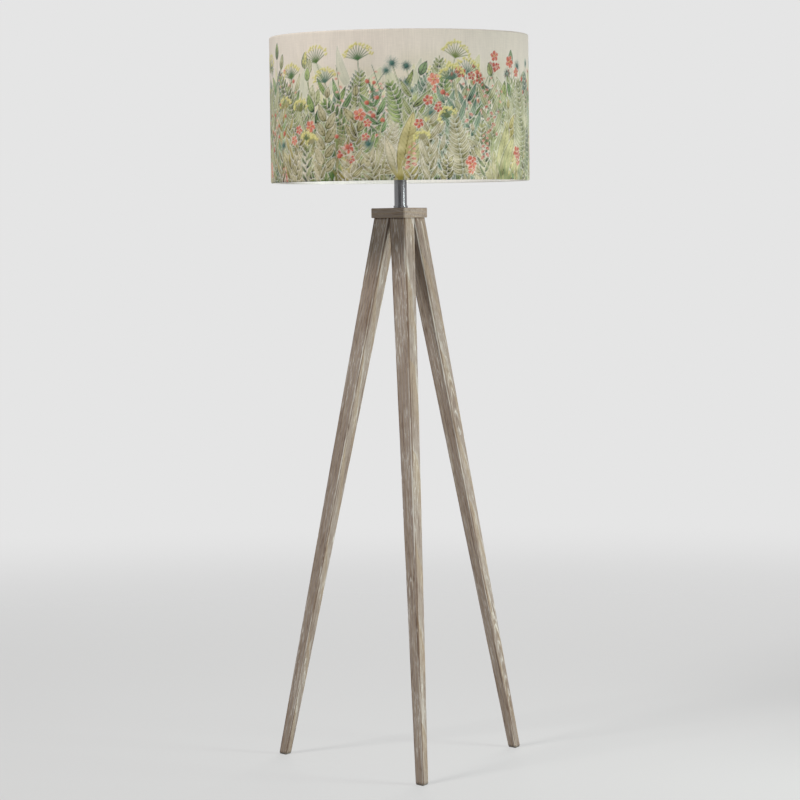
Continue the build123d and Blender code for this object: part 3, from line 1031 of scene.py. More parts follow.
    def frond(self, stem: Stem, tones: Tones) -> None:
        """Paint a fern's leaflets in pairs.

        Args:
            stem: The frond's stem.
            tones: Colours of its leaflets.
        """
        pairs = max(8, int(stem.length / 0.0105))
        for index in range(pairs):
            part = 0.14 + 0.84 * index / pairs
            size = stem.length * 0.30 * (1 - part) ** 0.75 + 0.005
            for hand in (-1, 1):
                turn = stem.turned(part) + hand * (1.15 - 0.4 * part)
                line = Stem(*stem.at(part), size, turn, -0.10 * hand)
                self.leaf(line, size * 0.15 + 0.001, tones, 0.92)

    def leaves(self, stem: Stem, tones: Tones, broad: bool) -> None:
        """Paint the leaves of a stem, left and right in turn.

        Args:
            stem: The stem.
            tones: Colours of the leaves.
            broad: True for broad veined leaves.
        """
        rng = self.rng
        count = int(rng.integers(6, 11))
        for index in range(count):
            part = 0.10 + 0.72 * index / count
            hand = 1 if index % 2 else -1
            size = stem.length * rng.uniform(0.19, 0.30) * (1 - 0.45 * part) + 0.006
            turn = stem.turned(part) + hand * rng.uniform(0.55, 1.0)
            line = Stem(*stem.at(part), size, turn, -0.22 * hand)
            width = size * (0.24 if broad else 0.13)
            self.leaf(line, width, tones, 0.94, 0.8, 0.25 if broad else 0.0)

    def top_leaf(self, stem: Stem, tones: Tones) -> None:
        """Paint the broad leaf that ends a stem.

        Args:
            stem: The stem.
            tones: Colours of the leaf.
        """
        tall = stem.length
        line = Stem(*stem.at(1.0), tall * 0.14, stem.turned(1.0), 0.1)
        self.leaf(line, tall * 0.038, tones, 0.88, 0.8, 0.25)

    def blossoms(self, stem: Stem, green: str) -> None:
        """Paint a large blossom at a stem's tip and two smaller ones beside it.

        Args:
            stem: The stem.
            green: Colour of their stalks.
        """
        rng = self.rng
        reds = self.pick(self.palette.petals)
        self.blossom(stem.at(1.0), rng.uniform(0.010, 0.013), rng.uniform(0, 1.2), reds)
        for part in (0.62, 0.80):
            turn = stem.heading + rng.choice((-1, 1)) * 0.8
            stalk = Stem(*stem.at(part), stem.length * 0.16, turn)
            self.stem(stalk, green)
            self.blossom(stalk.at(1.0), rng.uniform(0.008, 0.010), rng.uniform(0, 1.2), reds)

    def umbel(self, stem: Stem, green: str) -> None:
        """Paint a flat head of small flowers on a fan of stalks.

        Args:
            stem: The stem below it.
            green: Colour of its stalks.
        """
        rng = self.rng
        for index in range(-5, 6):
            turn = stem.turned(1.0) + index * 0.23
            stalk = Stem(*stem.at(1.0), stem.length * 0.10 + 0.006, turn, 0.05 * index / 5)
            self.stem(stalk, green)
            u, v = stalk.at(1.0)
            for _ in range(4):
                spot = u + rng.normal(0, 0.0022), v + rng.normal(0, 0.0022)
                self.dot(spot, 0.0021, self.palette.umbel, 0.9)

    def seed_head(self, stem: Stem) -> None:
        """Paint a round head of seed hairs at a stem's tip.

        Args:
            stem: The stem.
        """
        rng = self.rng
        tip = stem.at(1.0)
        radius = rng.uniform(0.012, 0.019)
        hairs = 26
        for index in range(hairs):
            turn = index * 2 * math.pi / hairs + rng.normal(0, 0.05)
            self.leaf(Stem(*tip, radius, turn, 0.04), 0.0009, self.palette.seed_hairs, 0.85, 0.6)
        self.dot(tip, radius * 0.26, self.palette.seed_heart, 0.9)

    def berries(self, stem: Stem, green: str) -> None:
        """Paint berries on short stalks along the upper stem.

        Args:
            stem: The stem.
            green: Colour of their stalks.
        """
        rng = self.rng
        count = max(3, round(stem.length / 0.032))
        for index in range(count):
            part = 0.45 + 0.55 * (index + rng.uniform(0, 0.8)) / count
            hand = 1 if index % 2 else -1
            turn = stem.heading + hand * rng.uniform(0.4, 1.3)
            stalk = Stem(*stem.at(part), rng.uniform(0.006, 0.019), turn)
            self.stem(stalk, green)
            self.dot(stalk.at(1.0), rng.uniform(0.0036, 0.0050), self.palette.berry, 0.92)

    def bells(self, stem: Stem) -> None:
        """Paint hanging bells along the upper stem.

        Args:
            stem: The stem.
        """
        count = 10
        for index in range(count):
            part = 0.50 + 0.50 * index / count
            hand = 1 if index % 2 else -1
            size = 0.014 * (1.25 - part * 0.75)
            turn = stem.heading + hand * self.rng.uniform(1.5, 2.0)
            line = Stem(*stem.at(part), size, turn, 0.2 * hand)
            self.leaf(line, size * 0.30, self.palette.bell, 0.88, 1.4)

    def plant(
        self, habit: Habit, u: float, v: float, tall: float, greens: tuple[Tones, ...]
    ) -> None:
        """Paint one plant from its foot up.

        Args:
            habit: How it grows.
            u: Distance round the cloth of its foot.
            v: Height of its foot.
            tall: Its height.
            greens: Colours that its leaves may have.
        """
        stem = Stem(u, v, tall, self.rng.normal(0, 0.16), self.rng.normal(0, 0.16))
        tones = self.pick(greens)
        green = tones[0]
        if habit not in (Habit.GRASS, Habit.PADDLE):
            self.stem(stem, green)
            if habit is not Habit.FERN:
                self.leaves(stem, tones, habit is Habit.BROAD)
        match habit:
            case Habit.GRASS:
                self.grass(stem, tones)
            case Habit.PADDLE:
                self.paddles(stem, greens)
            case Habit.FERN:
                self.frond(stem, tones)
            case Habit.BROAD:
                self.top_leaf(stem, tones)
            case Habit.BLOSSOM:
                self.blossoms(stem, green)
            case Habit.UMBEL:
                self.umbel(stem, green)
            case Habit.BERRIES:
                self.berries(stem, green)
            case Habit.BELLS:
                self.bells(stem)
            case Habit.SEEDS:
                self.seed_head(stem)

    def bands(self) -> tuple[Band, ...]:
        """List the rows of plants, from the far ones to the near ones.

        Returns:
            The rows.
        """
        # Red blossoms are few among the tall plants and many among the low ones.
        green_habits = [habit for habit in Habit if habit is not Habit.BLOSSOM]
        tall_habits = green_habits * 2 + [Habit.BLOSSOM]
        low_habits = list(Habit) + [Habit.BLOSSOM]
        return (
            Band(135, 0.77, 0.87, tall_habits, self.palette.fresh),
            Band(108, 0.67, 0.83, tall_habits, self.palette.fresh),
            Band(63, 0.40, 0.62, low_habits, self.palette.olive),
            Band(45, 0.16, 0.36, low_habits, self.palette.olive),
        )

    def paint(self) -> np.ndarray:
        """Paint the whole cloth, from the far plants to the near ones.

        Returns:
            Linear colour, rows by columns by three.
        """
        rng = self.rng
        self.wash()
        for _ in range(self.faded_leaves):
            u = rng.uniform(0, self.around)
            v = self.height * rng.uniform(-0.05, 0.62)
            length = rng.uniform(0.040, 0.095)
            tones = self.pick(self.palette.faded)
            turn = rng.normal(0, 0.7)
            wide = length * rng.uniform(0.12, 0.24)
            self.leaf(Stem(u, v, length, turn, rng.normal(0, 0.2)), wide, tones, 0.6)
        for band in self.bands():
            places = np.arange(band.count) + rng.uniform(0.15, 0.85, band.count)
            spots = places / band.count * self.around
            rng.shuffle(spots)
            for index, u in enumerate(spots):
                tall = self.height * rng.uniform(band.least, band.most)
                v = -self.height * rng.uniform(0.02, 0.10)
                habit = band.habits[index % len(band.habits)]
                self.plant(habit, float(u), v, tall, band.greens)
        return self.canvas


@dataclass
class Studio:
    """Pale floor, pale surroundings, three softboxes, a grey card and the camera."""

    azimuth: float = -5.9
    distance: float = 6.126
    eye_height: float = 1.04
    aim_height: float = 0.7069
    aside: float = -0.0059
    roll: float = -0.70
    lens: float = 142.24
    floor_radius: float = 6.0
    floor_colour: str = "#c3c2bf"
    sky_colour: str = "#e5e5e5"
    fill_colour: str = "#f2f4f8"
    fill: float = 0.28
    floor_glow: float = 0.6
    fade_start: float = 1.2
    fade_end: float = 5.0
    card_azimuth: float = -24.0
    card_distance: float = 2.5
    card_width: float = 2.5
    card_foot: float = 0.55
    card_top: float = 1.55

    def surround(self) -> None:
        """Make the pale surroundings, which also fill the shadows."""
        world = bpy.data.worlds.new("studio")
        bpy.context.scene.world = world
        world.use_nodes = True
        tree = world.node_tree
        tree.nodes.clear()
        rays = ("Is Camera Ray", "Is Glossy Ray", "Is Transmission Ray")
        seen = seen_share(tree, rays)
        fill = add(
            tree,
            "ShaderNodeBackground",
            {"Color": linear(self.fill_colour), "Strength": self.fill},
        ).outputs[0]
        shown = add(
            tree,
            "ShaderNodeBackground",
            {"Color": linear(self.sky_colour), "Strength": 1.0},
        ).outputs[0]
        mixed = add(tree, "ShaderNodeMixShader", {0: seen, 1: fill, 2: shown}).outputs[0]
        add(tree, "ShaderNodeOutputWorld", {"Surface": mixed})

    def floor(self) -> bpy.types.Object:
        """Lay a round pale floor that fades into the surroundings.

        Returns:
            The floor.
        """
        turns = np.linspace(0, 2 * math.pi, 96, endpoint=False)
        rim = [(self.floor_radius * math.cos(a), self.floor_radius * math.sin(a), 0.0) for a in turns]
        mesh = bpy.data.meshes.new("floor")
        mesh.from_pydata(rim, [], [list(range(len(rim)))])
        floor = bpy.data.objects.new("floor", mesh)
        bpy.context.scene.collection.objects.link(floor)
        material, tree = fresh_material("painted_floor")
        place = add(tree, "ShaderNodeTexCoord").outputs["Object"]
        away = add(tree, "ShaderNodeVectorMath", {0: place}, operation="LENGTH").outputs["Value"]
        near = add(
            tree,
            "ShaderNodeMapRange",
            {
                "Value": away,
                "From Min": self.fade_start,
                "From Max": self.fade_end,
                "To Min": 1.0,
                "To Max": 0.0,
            },
            interpolation_type="SMOOTHSTEP",
        ).outputs["Result"]
        paint = add(
            tree,
            "ShaderNodeBsdfPrincipled",
            {"Base Color": linear(self.floor_colour), "Roughness": 0.9, "Specular IOR Level": 0.1},
        ).outputs[0]
        # The eye and the bright metals see the floor paler than the lamps alone make it.
        seen = seen_share(tree, ("Is Camera Ray", "Is Glossy Ray"))
        glow = add(
            tree, "ShaderNodeMath", {0: seen, 1: self.floor_glow}, operation="MULTIPLY"
        ).outputs[0]
        pale = add(
            tree,
            "ShaderNodeEmission",
            {"Color": linear(self.sky_colour), "Strength": 1.0},
        ).outputs[0]
        paint = add(tree, "ShaderNodeMixShader", {0: glow, 1: paint, 2: pale}).outputs[0]
        clear = add(tree, "ShaderNodeBsdfTransparent").outputs[0]
        mixed = add(tree, "ShaderNodeMixShader", {0: near, 1: clear, 2: paint}).outputs[0]
        add(tree, "ShaderNodeOutputMaterial", {"Surface": mixed})
        dress(floor, material)
        return floor

    def softbox(
        self,
        box: Softbox,
        place: Vector,
        aim: Vector,
        front: tuple[float, float],
        power: float,
        spread: float,
        tint: str = "#ffffff",
    ) -> bpy.types.Object:
        """Hang one softbox.

        Args:
            box: Which of the softboxes it is.
            place: Where its middle hangs.
            aim: The point it faces.
            front: Width and height of its front.
            power: Its power in watts.
            spread: Angle of its beam in degrees.
            tint: Its colour.

        Returns:
            The light.
        """
        data = bpy.data.lights.new(box.value, "AREA")
        data.shape = "RECTANGLE"
        data.size, data.size_y = front
        data.energy = power
        data.spread = math.radians(spread)
        data.color = linear(tint)[:3]
        light = bpy.data.objects.new(box.value, data)
        light.location = place
        light.rotation_mode = "QUATERNION"
        light.rotation_quaternion = (aim - place).to_track_quat("-Z", "Y")
        light.visible_camera = False
        bpy.context.scene.collection.objects.link(light)
        return light

    def card(self) -> bpy.types.Object:
        """Stand a grey card before the lamp, which gives the polished metal its dark band.

        Returns:
            The card.
        """
        turn = math.radians(self.card_azimuth)
        back = Vector((math.sin(turn), -math.cos(turn), 0.0)) * self.card_distance
        right = Vector((math.cos(turn), math.sin(turn), 0.0)) * self.card_width / 2
        foot, top = self.card_foot, self.card_top
        rim = [
            back + right * hand + Vector((0.0, 0.0, level))
            for hand, level in ((-1, foot), (1, foot), (1, top), (-1, top))
        ]
        mesh = bpy.data.meshes.new("grey_card")
        mesh.from_pydata(rim, [], [(0, 1, 2, 3)])
        card = bpy.data.objects.new("grey_card", mesh)
        bpy.context.scene.collection.objects.link(card)
        card.visible_camera = False
        material, tree = fresh_material("grey_card")
        shader = add(
            tree,
            "ShaderNodeBsdfPrincipled",
            {"Base Color": linear("#d8d8d8"), "Roughness": 0.9},
        )
        add(tree, "ShaderNodeOutputMaterial", {"Surface": shader.outputs[0]})
        dress(card, material)
        return card

    def lights(self) -> None:
        """Hang one softbox at the left for the shade, one low at the right, one behind."""
        shade = Vector((0.0, 0.0, 1.30))
        legs = Vector((0.0, 0.0, 0.40))
        self.softbox(Softbox.KEY, Vector((-3.1, -2.45, 4.0)), shade, (1.2, 1.2), 34.5, 82.0)
        low = Vector((1.5, -0.87, 0.40))
        self.softbox(Softbox.SIDE, low, legs, (0.5, 1.3), 16.0, 104.0, "#ecf6f4")
        middle = Vector((0.0, 0.0, 0.80))
        self.softbox(Softbox.BACK, Vector((0.9, 3.4, 2.6)), middle, (1.8, 1.8), 30.0, 120.0)

    def camera(self) -> bpy.types.Object:
        """Set up the camera at the photographed angle.

        Returns:
            The camera.
        """
        turn = math.radians(self.azimuth)
        back = Vector((math.sin(turn), -math.cos(turn), 0.0))
        right = Vector((math.cos(turn), math.sin(turn), 0.0))
        data = bpy.data.cameras.new("camera")
        data.lens = self.lens
        data.sensor_width = 36.0
        data.clip_end = 60.0
        camera = bpy.data.objects.new("camera", data)
        camera.location = back * self.distance + Vector((0.0, 0.0, self.eye_height))
        aim = right * self.aside + Vector((0.0, 0.0, self.aim_height))
        camera.rotation_mode = "QUATERNION"
        level = (aim - camera.location).to_track_quat("-Z", "Y")
        camera.rotation_quaternion = level @ Quaternion((0.0, 0.0, 1.0), math.radians(self.roll))
        bpy.context.scene.collection.objects.link(camera)
        bpy.context.scene.camera = camera
        return camera

    def build(self) -> None:
        """Set up the whole studio."""
        bpy.context.scene.view_settings.view_transform = "Standard"
        self.surround()
        self.floor()
        self.card()
        self.lights()
        self.camera()


@dataclass
class Tripod:
    """Three tapered wooden legs with felt pads, under the top plate."""

    nodes: dict[str, bpy.types.Object]
    legs: tuple[str, ...] = ("leg_1", "leg_2", "leg_3")
    pads: tuple[str, ...] = ("foot_pad_1", "foot_pad_2", "foot_pad_3")
    rings: int = 260
    around: int = 96
    arris_width: float = 6.0 * MILLIMETRE
    shade_band_offset: float = 3.5 * MILLIMETRE
    shade_band_width: float = 2.6 * MILLIMETRE
    wave_depth: float = 0.5 * MILLIMETRE
    nick_depth: float = 1.6 * MILLIMETRE
    leg_seed: int = 40
    pad_seed: int = 11
    pad_around: int = 72
    pad_rings: int = 9
    pad_round: float = 0.6 * MILLIMETRE
    pad_fuzz: float = 0.12 * MILLIMETRE

    def section(self, node: bpy.types.Object, top: bool) -> tuple[np.ndarray, np.ndarray, float]:
        """Read the outline of a leg's or pad's end.

        Args:
            node: The frame node.
            top: True for its upper end.

        Returns:
            The outline, its centre and its level.
        """
        points = node_points(node)
        level = points[:, 2].max() if top else points[:, 2].min()
        flat = points[np.abs(points[:, 2] - level) < 1e-5][:, :2]
        outline = hull(flat)
        return outline, (outline.min(axis=0) + outline.max(axis=0)) / 2, float(level)

    def spaced(self, outline: np.ndarray, centre: np.ndarray) -> tuple[np.ndarray, np.ndarray]:
        """Space points round an outline, closer together at its arrises.

        Args:
            outline: The outline's corners.
            centre: A point inside it.

        Returns:
            The points' directions, and how far round from an arris each is.
        """
        angles = np.linspace(0, 2 * math.pi, 7200, endpoint=False)
        reach = reach_of(outline, centre, angles)
        points = centre + reach[:, None] * np.stack([np.cos(angles), np.sin(angles)], axis=1)
        middle = points.mean(axis=0)
        far = np.hypot(*(points - middle).T)
        peaks = []
        for _ in range(3):
            allowed = np.ones(len(far), bool)
            for peak in peaks:
                gap = np.abs((angles - angles[peak] + math.pi) % (2 * math.pi) - math.pi)
                allowed &= gap > 1.0
            peaks.append(int(np.argmax(np.where(allowed, far, 0))))
        steps = np.hypot(*(np.roll(points, -1, axis=0) - points).T)
        path = np.cumsum(steps)
        around = path[-1]
        gaps = np.array([(path - path[peak] + around / 2) % around - around / 2 for peak in peaks])
        nearest = np.abs(gaps).argmin(axis=0)
        signed = np.take_along_axis(gaps, nearest[None], axis=0)[0]
        weight = np.cumsum(steps * (1 + 6 * np.exp(-((signed / self.arris_width) ** 2))))
        wanted = np.linspace(0, weight[-1], self.around, endpoint=False)
        chosen = np.round(np.interp(wanted, weight, np.arange(len(angles)))).astype(int)
        return angles[chosen], signed[chosen]

    def strips(self, levels: int, around: int, parts: int) -> np.ndarray:
        """Lay a long unrolled skin out as side-by-side strips that fill the square.

        Args:
            levels: Rows of faces from end to end.
            around: Faces round the skin.
            parts: Number of strips.

        Returns:
            The map's corners, row by face by corner by two.
        """
        row, column = np.meshgrid(np.arange(levels), np.arange(around), indexing="ij")
        share = math.ceil(levels / parts)
        strip = row // share
        corners = []
        for side, end in ((0, 0), (1, 0), (1, 1), (0, 1)):
            u = (strip + 0.03 + 0.94 * (column + side) / around) / parts
            v = 0.02 + 0.94 * (row - strip * share + end) / share
            corners.append(np.stack([u, v], axis=-1))
        return np.stack(corners, axis=2)

    def leg(self, name: str, seed: int, wood: bpy.types.Material) -> bpy.types.Object:
        """Build one leg with worn, nicked arrises.

        Args:
            name: The frame node that it stands for.
            seed: Seed of its wear and grain.
            wood: Its material.

        Returns:
            The leg.
        """
        rng = np.random.default_rng(seed)
        node = self.nodes[name]
        low_line, low_centre, low_level = self.section(node, False)
        high_line, high_centre, high_level = self.section(node, True)
        angles, aside = self.spaced(high_line, high_centre)
        near = np.exp(-((aside / self.arris_width) ** 2))
        low_reach = reach_of(low_line, low_centre, angles)
        high_reach = reach_of(high_line, high_centre, angles)
        part = np.linspace(0, 1, self.rings)[:, None]
        centre = low_centre + (high_centre - low_centre) * part
        reach = low_reach + (high_reach - low_reach) * part
        planed = cloud(self.rings, self.around, 46, 12, rng)
        hollow = 0.35 * self.wave_depth * planed
        waved = self.wave_depth * cloud(self.rings, self.around, 34, 3, rng) * near
        nicks = rise(cloud(self.rings, self.around, 120, 9, rng), 0.80, 0.97)
        nicks = nicks * rise(cloud(self.rings, self.around, 16, 5, rng), 0.35, 0.7)
        worn = reach - hollow - waved - self.nick_depth * nicks * near**3
        heading = np.stack([np.cos(angles), np.sin(angles)], axis=1)
        rings = np.zeros((self.rings, self.around, 3))
        rings[..., :2] = centre[:, None, :] + worn[..., None] * heading
        rings[..., 2] = low_level + (high_level - low_level) * part
        maps = {"OFBake": self.strips(self.rings - 1, self.around, 3)}
        piece = lofted(f"wooden_{name}", rings, False, maps)
        length = math.dist((*low_centre, low_level), (*high_centre, high_level))
        grain = np.zeros_like(rings)
        grain[..., :2] = worn[..., None] * heading + rng.uniform(-0.02, 0.02, 2)
        grain[..., 2] = length * part + rng.uniform(0, 4)
        store(piece, "grain", "FLOAT_VECTOR", grain)
        # The brown band is painted shade: it lies on one side of an arris only, and comes and goes
        # along it.
        painted_arris_shade = np.exp(-(((aside - self.shade_band_offset) / self.shade_band_width) ** 2))
        painted_arris_shade = painted_arris_shade * rise(cloud(self.rings, self.around, 14, 4, rng), 0.10, 0.45)
        store(piece, "arris", "FLOAT", np.broadcast_to(near, reach.shape))
        store(piece, "band", "FLOAT", painted_arris_shade)
        # One face of each leg is flat-sawn, and shows its arches in some stretches.
        away = math.atan2(*(low_centre - high_centre)[::-1]) - math.radians(60.0)
        plain = np.cos(angles - away) < 0.5
        middle = (np.abs(aside).max() - np.abs(aside)) * reach / high_reach
        hidden = plain + rise(cloud(self.rings, self.around, 6, 1, rng), 0.35, 0.60)
        store(piece, "middle", "FLOAT", middle + 0.05 * hidden)
        dress(piece, wood)
        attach(piece, "base")
        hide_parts(name)
        return piece

    def pad(self, name: str, seed: int, felt: bpy.types.Material) -> bpy.types.Object:
        """Build one pressed felt pad with soft edges.

        Args:
            name: The frame node that it stands for.
            seed: Seed of its fuzz.
            felt: Its material.

        Returns:
            The pad.
        """
        node = self.nodes[name]
        outline, centre, low = self.section(node, False)
        high = self.section(node, True)[2]
        angles = np.linspace(0, 2 * math.pi, self.pad_around, endpoint=False)
        reach = reach_of(outline, centre, angles)
        heading = np.stack([np.cos(angles), np.sin(angles)], axis=1)
        fuzz = self.pad_fuzz * np.random.default_rng(seed).random(len(angles))
        levels = []
        for turn in np.radians(np.linspace(-90, 90, self.pad_rings)):
            tuck = self.pad_round * (1 - math.cos(turn))
            lift = self.pad_round * (1 + math.sin(turn))
            if turn > 0:
                lift = high - low - self.pad_round * (1 - math.sin(turn))
            ring = np.zeros((len(angles), 3))
            ring[:, :2] = centre + (reach - tuck - fuzz)[:, None] * heading
            ring[:, 2] = low + lift
            levels.append(ring)
        piece = lofted(f"felt_{name}", np.array(levels), False, {})
        dress(piece, felt)
        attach(piece, "base")
        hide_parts(name)
        return piece

    def build(self) -> list[bpy.types.Object]:
        """Build the legs and pads.

        Returns:
            The pieces.
        """
        wood = LimedWood("limed_wood_legs", GrainSource.PIECE).build()
        # Pressed wool felt is dull and speckled, with a haze of loose fibres.
        felt = GrainedFinish(
            "pressed_felt", "#6e675e", "#514b44", 0.95, 0.04, 1.2, 0.3, sheen=0.4
        ).build()
        pieces = [self.leg(name, seed, wood) for seed, name in enumerate(self.legs, self.leg_seed)]
        pieces += [self.pad(name, seed, felt) for seed, name in enumerate(self.pads, self.pad_seed)]
        return pieces


@dataclass
class DrumShade:
    """The printed linen drum, rolled over its two wire rings."""

    columns: int = 900
    wall_rows: int = 172
    roll_steps: int = 7
    cloth: float = 0.8 * MILLIMETRE
    roll: float = 2.7 * MILLIMETRE
    hem: float = 9.0 * MILLIMETRE
    seam_width: float = 11.0 * MILLIMETRE
    seam_step: float = 0.5 * MILLIMETRE
    seam_slope: float = 1.2 * MILLIMETRE
    seam_angle: float = math.radians(90.0)
    slack: float = 0.25 * MILLIMETRE
    slack_seed: int = 5
    plain_cloth: str = "#f4f0ea"

    def profile(self, radius: float, low: float, high: float) -> np.ndarray:
        """Draw the cloth's section, from the lower outer edge once round to its start.

        Args:
            radius: The shade's outer radius.
            low: Its lower edge.
            high: Its upper edge.

        Returns:
            Radius and height of each point.
        """
        wire = radius - self.roll
        turns = np.linspace(0, math.pi, self.roll_steps + 1)
        inner = self.roll - self.cloth
        outline = [(radius, z) for z in np.linspace(low + self.roll, high - self.roll, self.wall_rows)]
        top = high - self.roll
        outline += [(wire + self.roll * math.cos(a), top + self.roll * math.sin(a)) for a in turns[1:]]
        outline += [(wire - self.roll, top - self.hem), (wire - inner, top - self.hem)]
        outline += [
            (wire + inner * math.cos(a), top + inner * math.sin(a)) for a in turns[::-1]
        ]
        bottom = low + self.roll
        outline += [
            (wire + inner * math.cos(a), bottom - inner * math.sin(a)) for a in turns
        ]
        outline += [(wire - inner, bottom + self.hem), (wire - self.roll, bottom + self.hem)]
        outline += [
            (wire + self.roll * math.cos(a), bottom - self.roll * math.sin(a))
            for a in turns[::-1][:-1]
        ]
        return np.array(outline)

    def from_seam(self, radius: float) -> np.ndarray:
        """Measure round the cloth from the middle of its back seam.

        Args:
            radius: The shade's outer radius.

        Returns:
            The distance of each column.
        """
        steps = np.arange(self.columns)
        pitch = 2 * math.pi * radius / self.columns
        return np.minimum(steps, self.columns - steps) * pitch

    def build(self) -> list[bpy.types.Object]:
        """Build and print the cover.

        Returns:
            The pieces.
        """
        low_corner, high_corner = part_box("shade_cover")
        radius = high_corner.x
        low, high = low_corner.z, high_corner.z
        profile = self.profile(radius, low, high)
        count = len(profile)
        turns = self.seam_angle + np.arange(self.columns) * 2 * math.pi / self.columns
        rng = np.random.default_rng(self.slack_seed)
        ease = self.slack * cloud(count, self.columns, 5, 18, rng)
        # Both hems follow the wall's own edge.
        ease[self.wall_rows :] = ease[self.wall_rows - 1]
        ease[-self.roll_steps - 6 :] = ease[0]
        half_seam = self.seam_width / 2
        lap = self.from_seam(radius)
        lift = self.seam_step * rise(-lap, -half_seam - self.seam_slope, -half_seam)
        reach = profile[:, :1] - ease
        reach[: self.wall_rows] += lift
        rings = np.zeros((count, self.columns, 3))
        rings[..., 0] = reach * np.cos(turns)
        rings[..., 1] = reach * np.sin(turns)
        rings[..., 2] = profile[:, 1:]
        cloth_map, bake_map = self.maps(profile, radius)
        cover = lofted("linen_cover", rings, True, {"OFBake": bake_map, "cloth": cloth_map})
        store(cover, "print", "FLOAT_COLOR", self.colours(radius, high - low, count))
        dress(cover, PrintedLinen().build())
        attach(cover, "shade")
        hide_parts("shade_cover")
        return [cover]

    def maps(self, profile: np.ndarray, radius: float) -> tuple[np.ndarray, np.ndarray]:
        """Unroll the cloth.

        Args:
            profile: Its section.
            radius: Its outer radius.

        Returns:
            The map in metres for the weave, and the map that fills the square with two strips.
        """
        steps = np.hypot(*(np.roll(profile, -1, axis=0) - profile).T)
        path = np.concatenate([[0], np.cumsum(steps)])
        count = len(profile)
        row, column = np.meshgrid(np.arange(count), np.arange(self.columns), indexing="ij")
        half = self.columns // 2
        wall = row < self.wall_rows - 1
        margin, width = 0.01, 0.98
        strip_tall, strip_pitch = 0.44, 0.46
        hem_foot, hem_tall = 0.94, 0.05
        metres, square = [], []
        for side, end in ((0, 0), (1, 0), (1, 1), (0, 1)):
            u = (column + side) * 2 * math.pi * radius / self.columns
            metres.append(np.stack([u, path[row + end]], axis=-1))
            strip = column // half
            across = margin + width * (column - strip * half + side) / half
            up = margin + strip_tall * (row + end) / (self.wall_rows - 1) + strip_pitch * strip
            rest = (row - self.wall_rows + 1 + end) / (count - self.wall_rows + 1)
            across_rest = margin + width * (column + side) / self.columns
            u = np.where(wall, across, across_rest)
            v = np.where(wall, up, hem_foot + hem_tall * rest)
            square.append(np.stack([u, v], axis=-1))
        return np.stack(metres, axis=2), np.stack(square, axis=2)

    def colours(self, radius: float, height: float, count: int) -> np.ndarray:
        """Paint the wall's print and leave the hems plain.

        Args:
            radius: The shade's outer radius.
            height: Its height.
            count: Number of points in the cloth's section.

        Returns:
            Linear colour and alpha, ring by point.
        """
        design = ClothPrint(2 * math.pi * radius, height, self.columns, self.wall_rows)
        printed = design.paint()
        # Two thin lines of painted shadow mark the lap's cut edges.
        lap = self.from_seam(radius)
        edge = np.abs(lap - self.seam_width / 2) < math.pi * radius / self.columns
        printed[:, edge] *= 0.80
        colours = np.ones((count, self.columns, 4))
        colours[..., :3] = rgb(self.plain_cloth)
        colours[: self.wall_rows, :, :3] = printed
        over = self.roll_steps // 2
        colours[self.wall_rows : self.wall_rows + over, :, :3] = printed[-1]
        colours[-over:, :, :3] = printed[0]
        return colours.reshape(-1, 4)


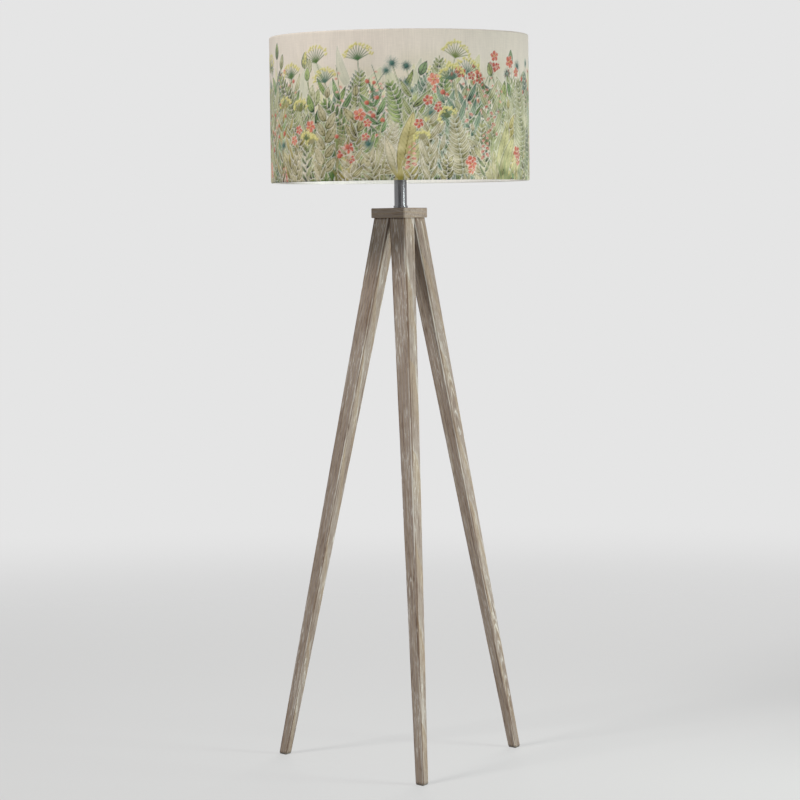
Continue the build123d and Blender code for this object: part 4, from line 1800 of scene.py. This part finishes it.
@dataclass
class Fittings:
    """The frame's own hard pieces, dressed in their metals, plastics, glass and wood."""

    nodes: dict[str, bpy.types.Object]

    def finishes(self) -> dict[GrainedFinish, tuple[str, ...]]:
        """Say which finish each piece has.

        Returns:
            Finish to piece names.
        """
        # Black nickel plate is buffed to a mirror along the tube: cool, dark, with faint lines.
        nickel = GrainedFinish(
            "black_nickel_plate", "#808082", "#77777a", 0.18, 0.05, 1.5, 0.001, metallic=1.0,
            draw=(1.0, 1.0, 0.03),
        )
        # Zinc plate on steel is a soft bluish grey, dulled by its crystals.
        zinc = GrainedFinish(
            "zinc_plated_steel", "#b9bcc0", "#a3a7ab", 0.36, 0.08, 0.8, 0.01, metallic=1.0
        )
        # Turned brass is warm and half bright, with fine lines from the tool.
        brass = GrainedFinish(
            "turned_brass", "#c9a55c", "#b8924a", 0.30, 0.08, 0.6, 0.01, metallic=1.0
        )
        # Phenolic plastic is moulded, near black, with a satin skin.
        phenolic = GrainedFinish(
            "moulded_phenolic", "#232222", "#1b1a1a", 0.42, 0.08, 0.5, 0.015, ior=1.6
        )
        # The switch's bar is moulded in polished nylon, blacker and glossier.
        nylon = GrainedFinish(
            "polished_nylon", "#1c1c1d", "#161617", 0.22, 0.05, 0.6, 0.006, ior=1.53, coat=0.2
        )
        # Steatite porcelain is glazed: white with a hard shine.
        ceramic = GrainedFinish(
            "glazed_steatite", "#ece8df", "#e0dbd0", 0.20, 0.05, 1.5, 0.01, ior=1.54, coat=0.3
        )
        # Rolled aluminium of the bulb's cap is bright, with a haze.
        aluminium = GrainedFinish(
            "rolled_aluminium", "#cfd0d2", "#bfc0c2", 0.28, 0.07, 0.7, 0.008, metallic=1.0
        )
        # The cap's black glass was poured and cooled: smooth, and wet to look at.
        cap_glass = GrainedFinish(
            "black_cap_glass", "#17171c", "#101014", 0.10, 0.03, 1.0, 0.004, ior=1.55
        )
        # The bulb's body is moulded in white polycarbonate, faintly textured.
        body = GrainedFinish(
            "white_polycarbonate", "#eeece8", "#e6e4df", 0.45, 0.06, 0.7, 0.01, ior=1.58
        )
        # Opal polycarbonate lets light in a little way, so its edge glows softly.
        opal = GrainedFinish(
            "opal_polycarbonate", "#f3f0ea", "#ece8e1", 0.38, 0.05, 0.9, 0.006, ior=1.58,
            subsurface=0.35,
        )
        # The lining is white pressed vinyl on paper: flat and chalky.
        liner = GrainedFinish(
            "white_vinyl_lining", "#f0ede7", "#e7e3dc", 0.62, 0.06, 1.8, 0.03, ior=1.53
        )
        # Powder coat on wire has a fine orange-peel skin.
        wire = GrainedFinish(
            "white_powder_coat", "#efeeeb", "#e4e2de", 0.44, 0.06, 0.8, 0.03, ior=1.5
        )
        # Turned beech dowels are pale and close-grained.
        beech = GrainedFinish(
            "turned_beech", "#d0ac82", "#b98f63", 0.62, 0.08, 1.2, 0.05, draw=(1.0, 1.0, 0.1)
        )
        return {
            nickel: ("neck_tube", "neck_collar", "neck_cap"),
            zinc: ("leg_bolts", "stem_washer", "stem_nut", "terminal_screws"),
            brass: ("leg_inserts", "stem", "holder_nut", "screw_socket", "centre_contact"),
            phenolic: ("lampholder_base", "lampholder_shell", "shade_ring", "cord_bush"),
            nylon: ("switch_bar",),
            ceramic: ("lampholder_core",),
            aluminium: ("bulb_cap", "bulb_contact"),
            cap_glass: ("bulb_insulator",),
            body: ("bulb_body", "bulb_board"),
            opal: ("bulb_globe",),
            liner: ("shade_liner",),
            wire: ("shade_top_wire", "shade_carrier"),
            beech: ("leg_dowels",),
        }

    def build(self) -> list[bpy.types.Object]:
        """Dress every piece.

        Returns:
            The pieces.
        """
        pieces = []
        for finish, names in self.finishes().items():
            material = finish.build()
            for name in names:
                dress(self.nodes[name], material)
                pieces.append(self.nodes[name])
        plate = self.nodes["top_plate"]
        # The plate was planed smoother, so it took less lime.
        smooth = LimedWood(
            "limed_wood_plate", GrainSource.OBJECT, lime_share=0.18, pore_share=0.30
        )
        dress(plate, smooth.build())
        pieces.append(plate)
        return pieces


def main() -> None:
    """Load the frame, build the lamp and its studio, and log each piece."""
    logging.basicConfig(level=logging.INFO, format="%(name)s: %(message)s")
    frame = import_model()
    nodes = frame["nodes"]
    Studio().build()
    for assembly in (Tripod(nodes), DrumShade(), Fittings(nodes)):
        for piece in assembly.build():
            log.info("%s built: %s", type(assembly).__name__, piece.name)


if __name__ == "__main__":
    main()
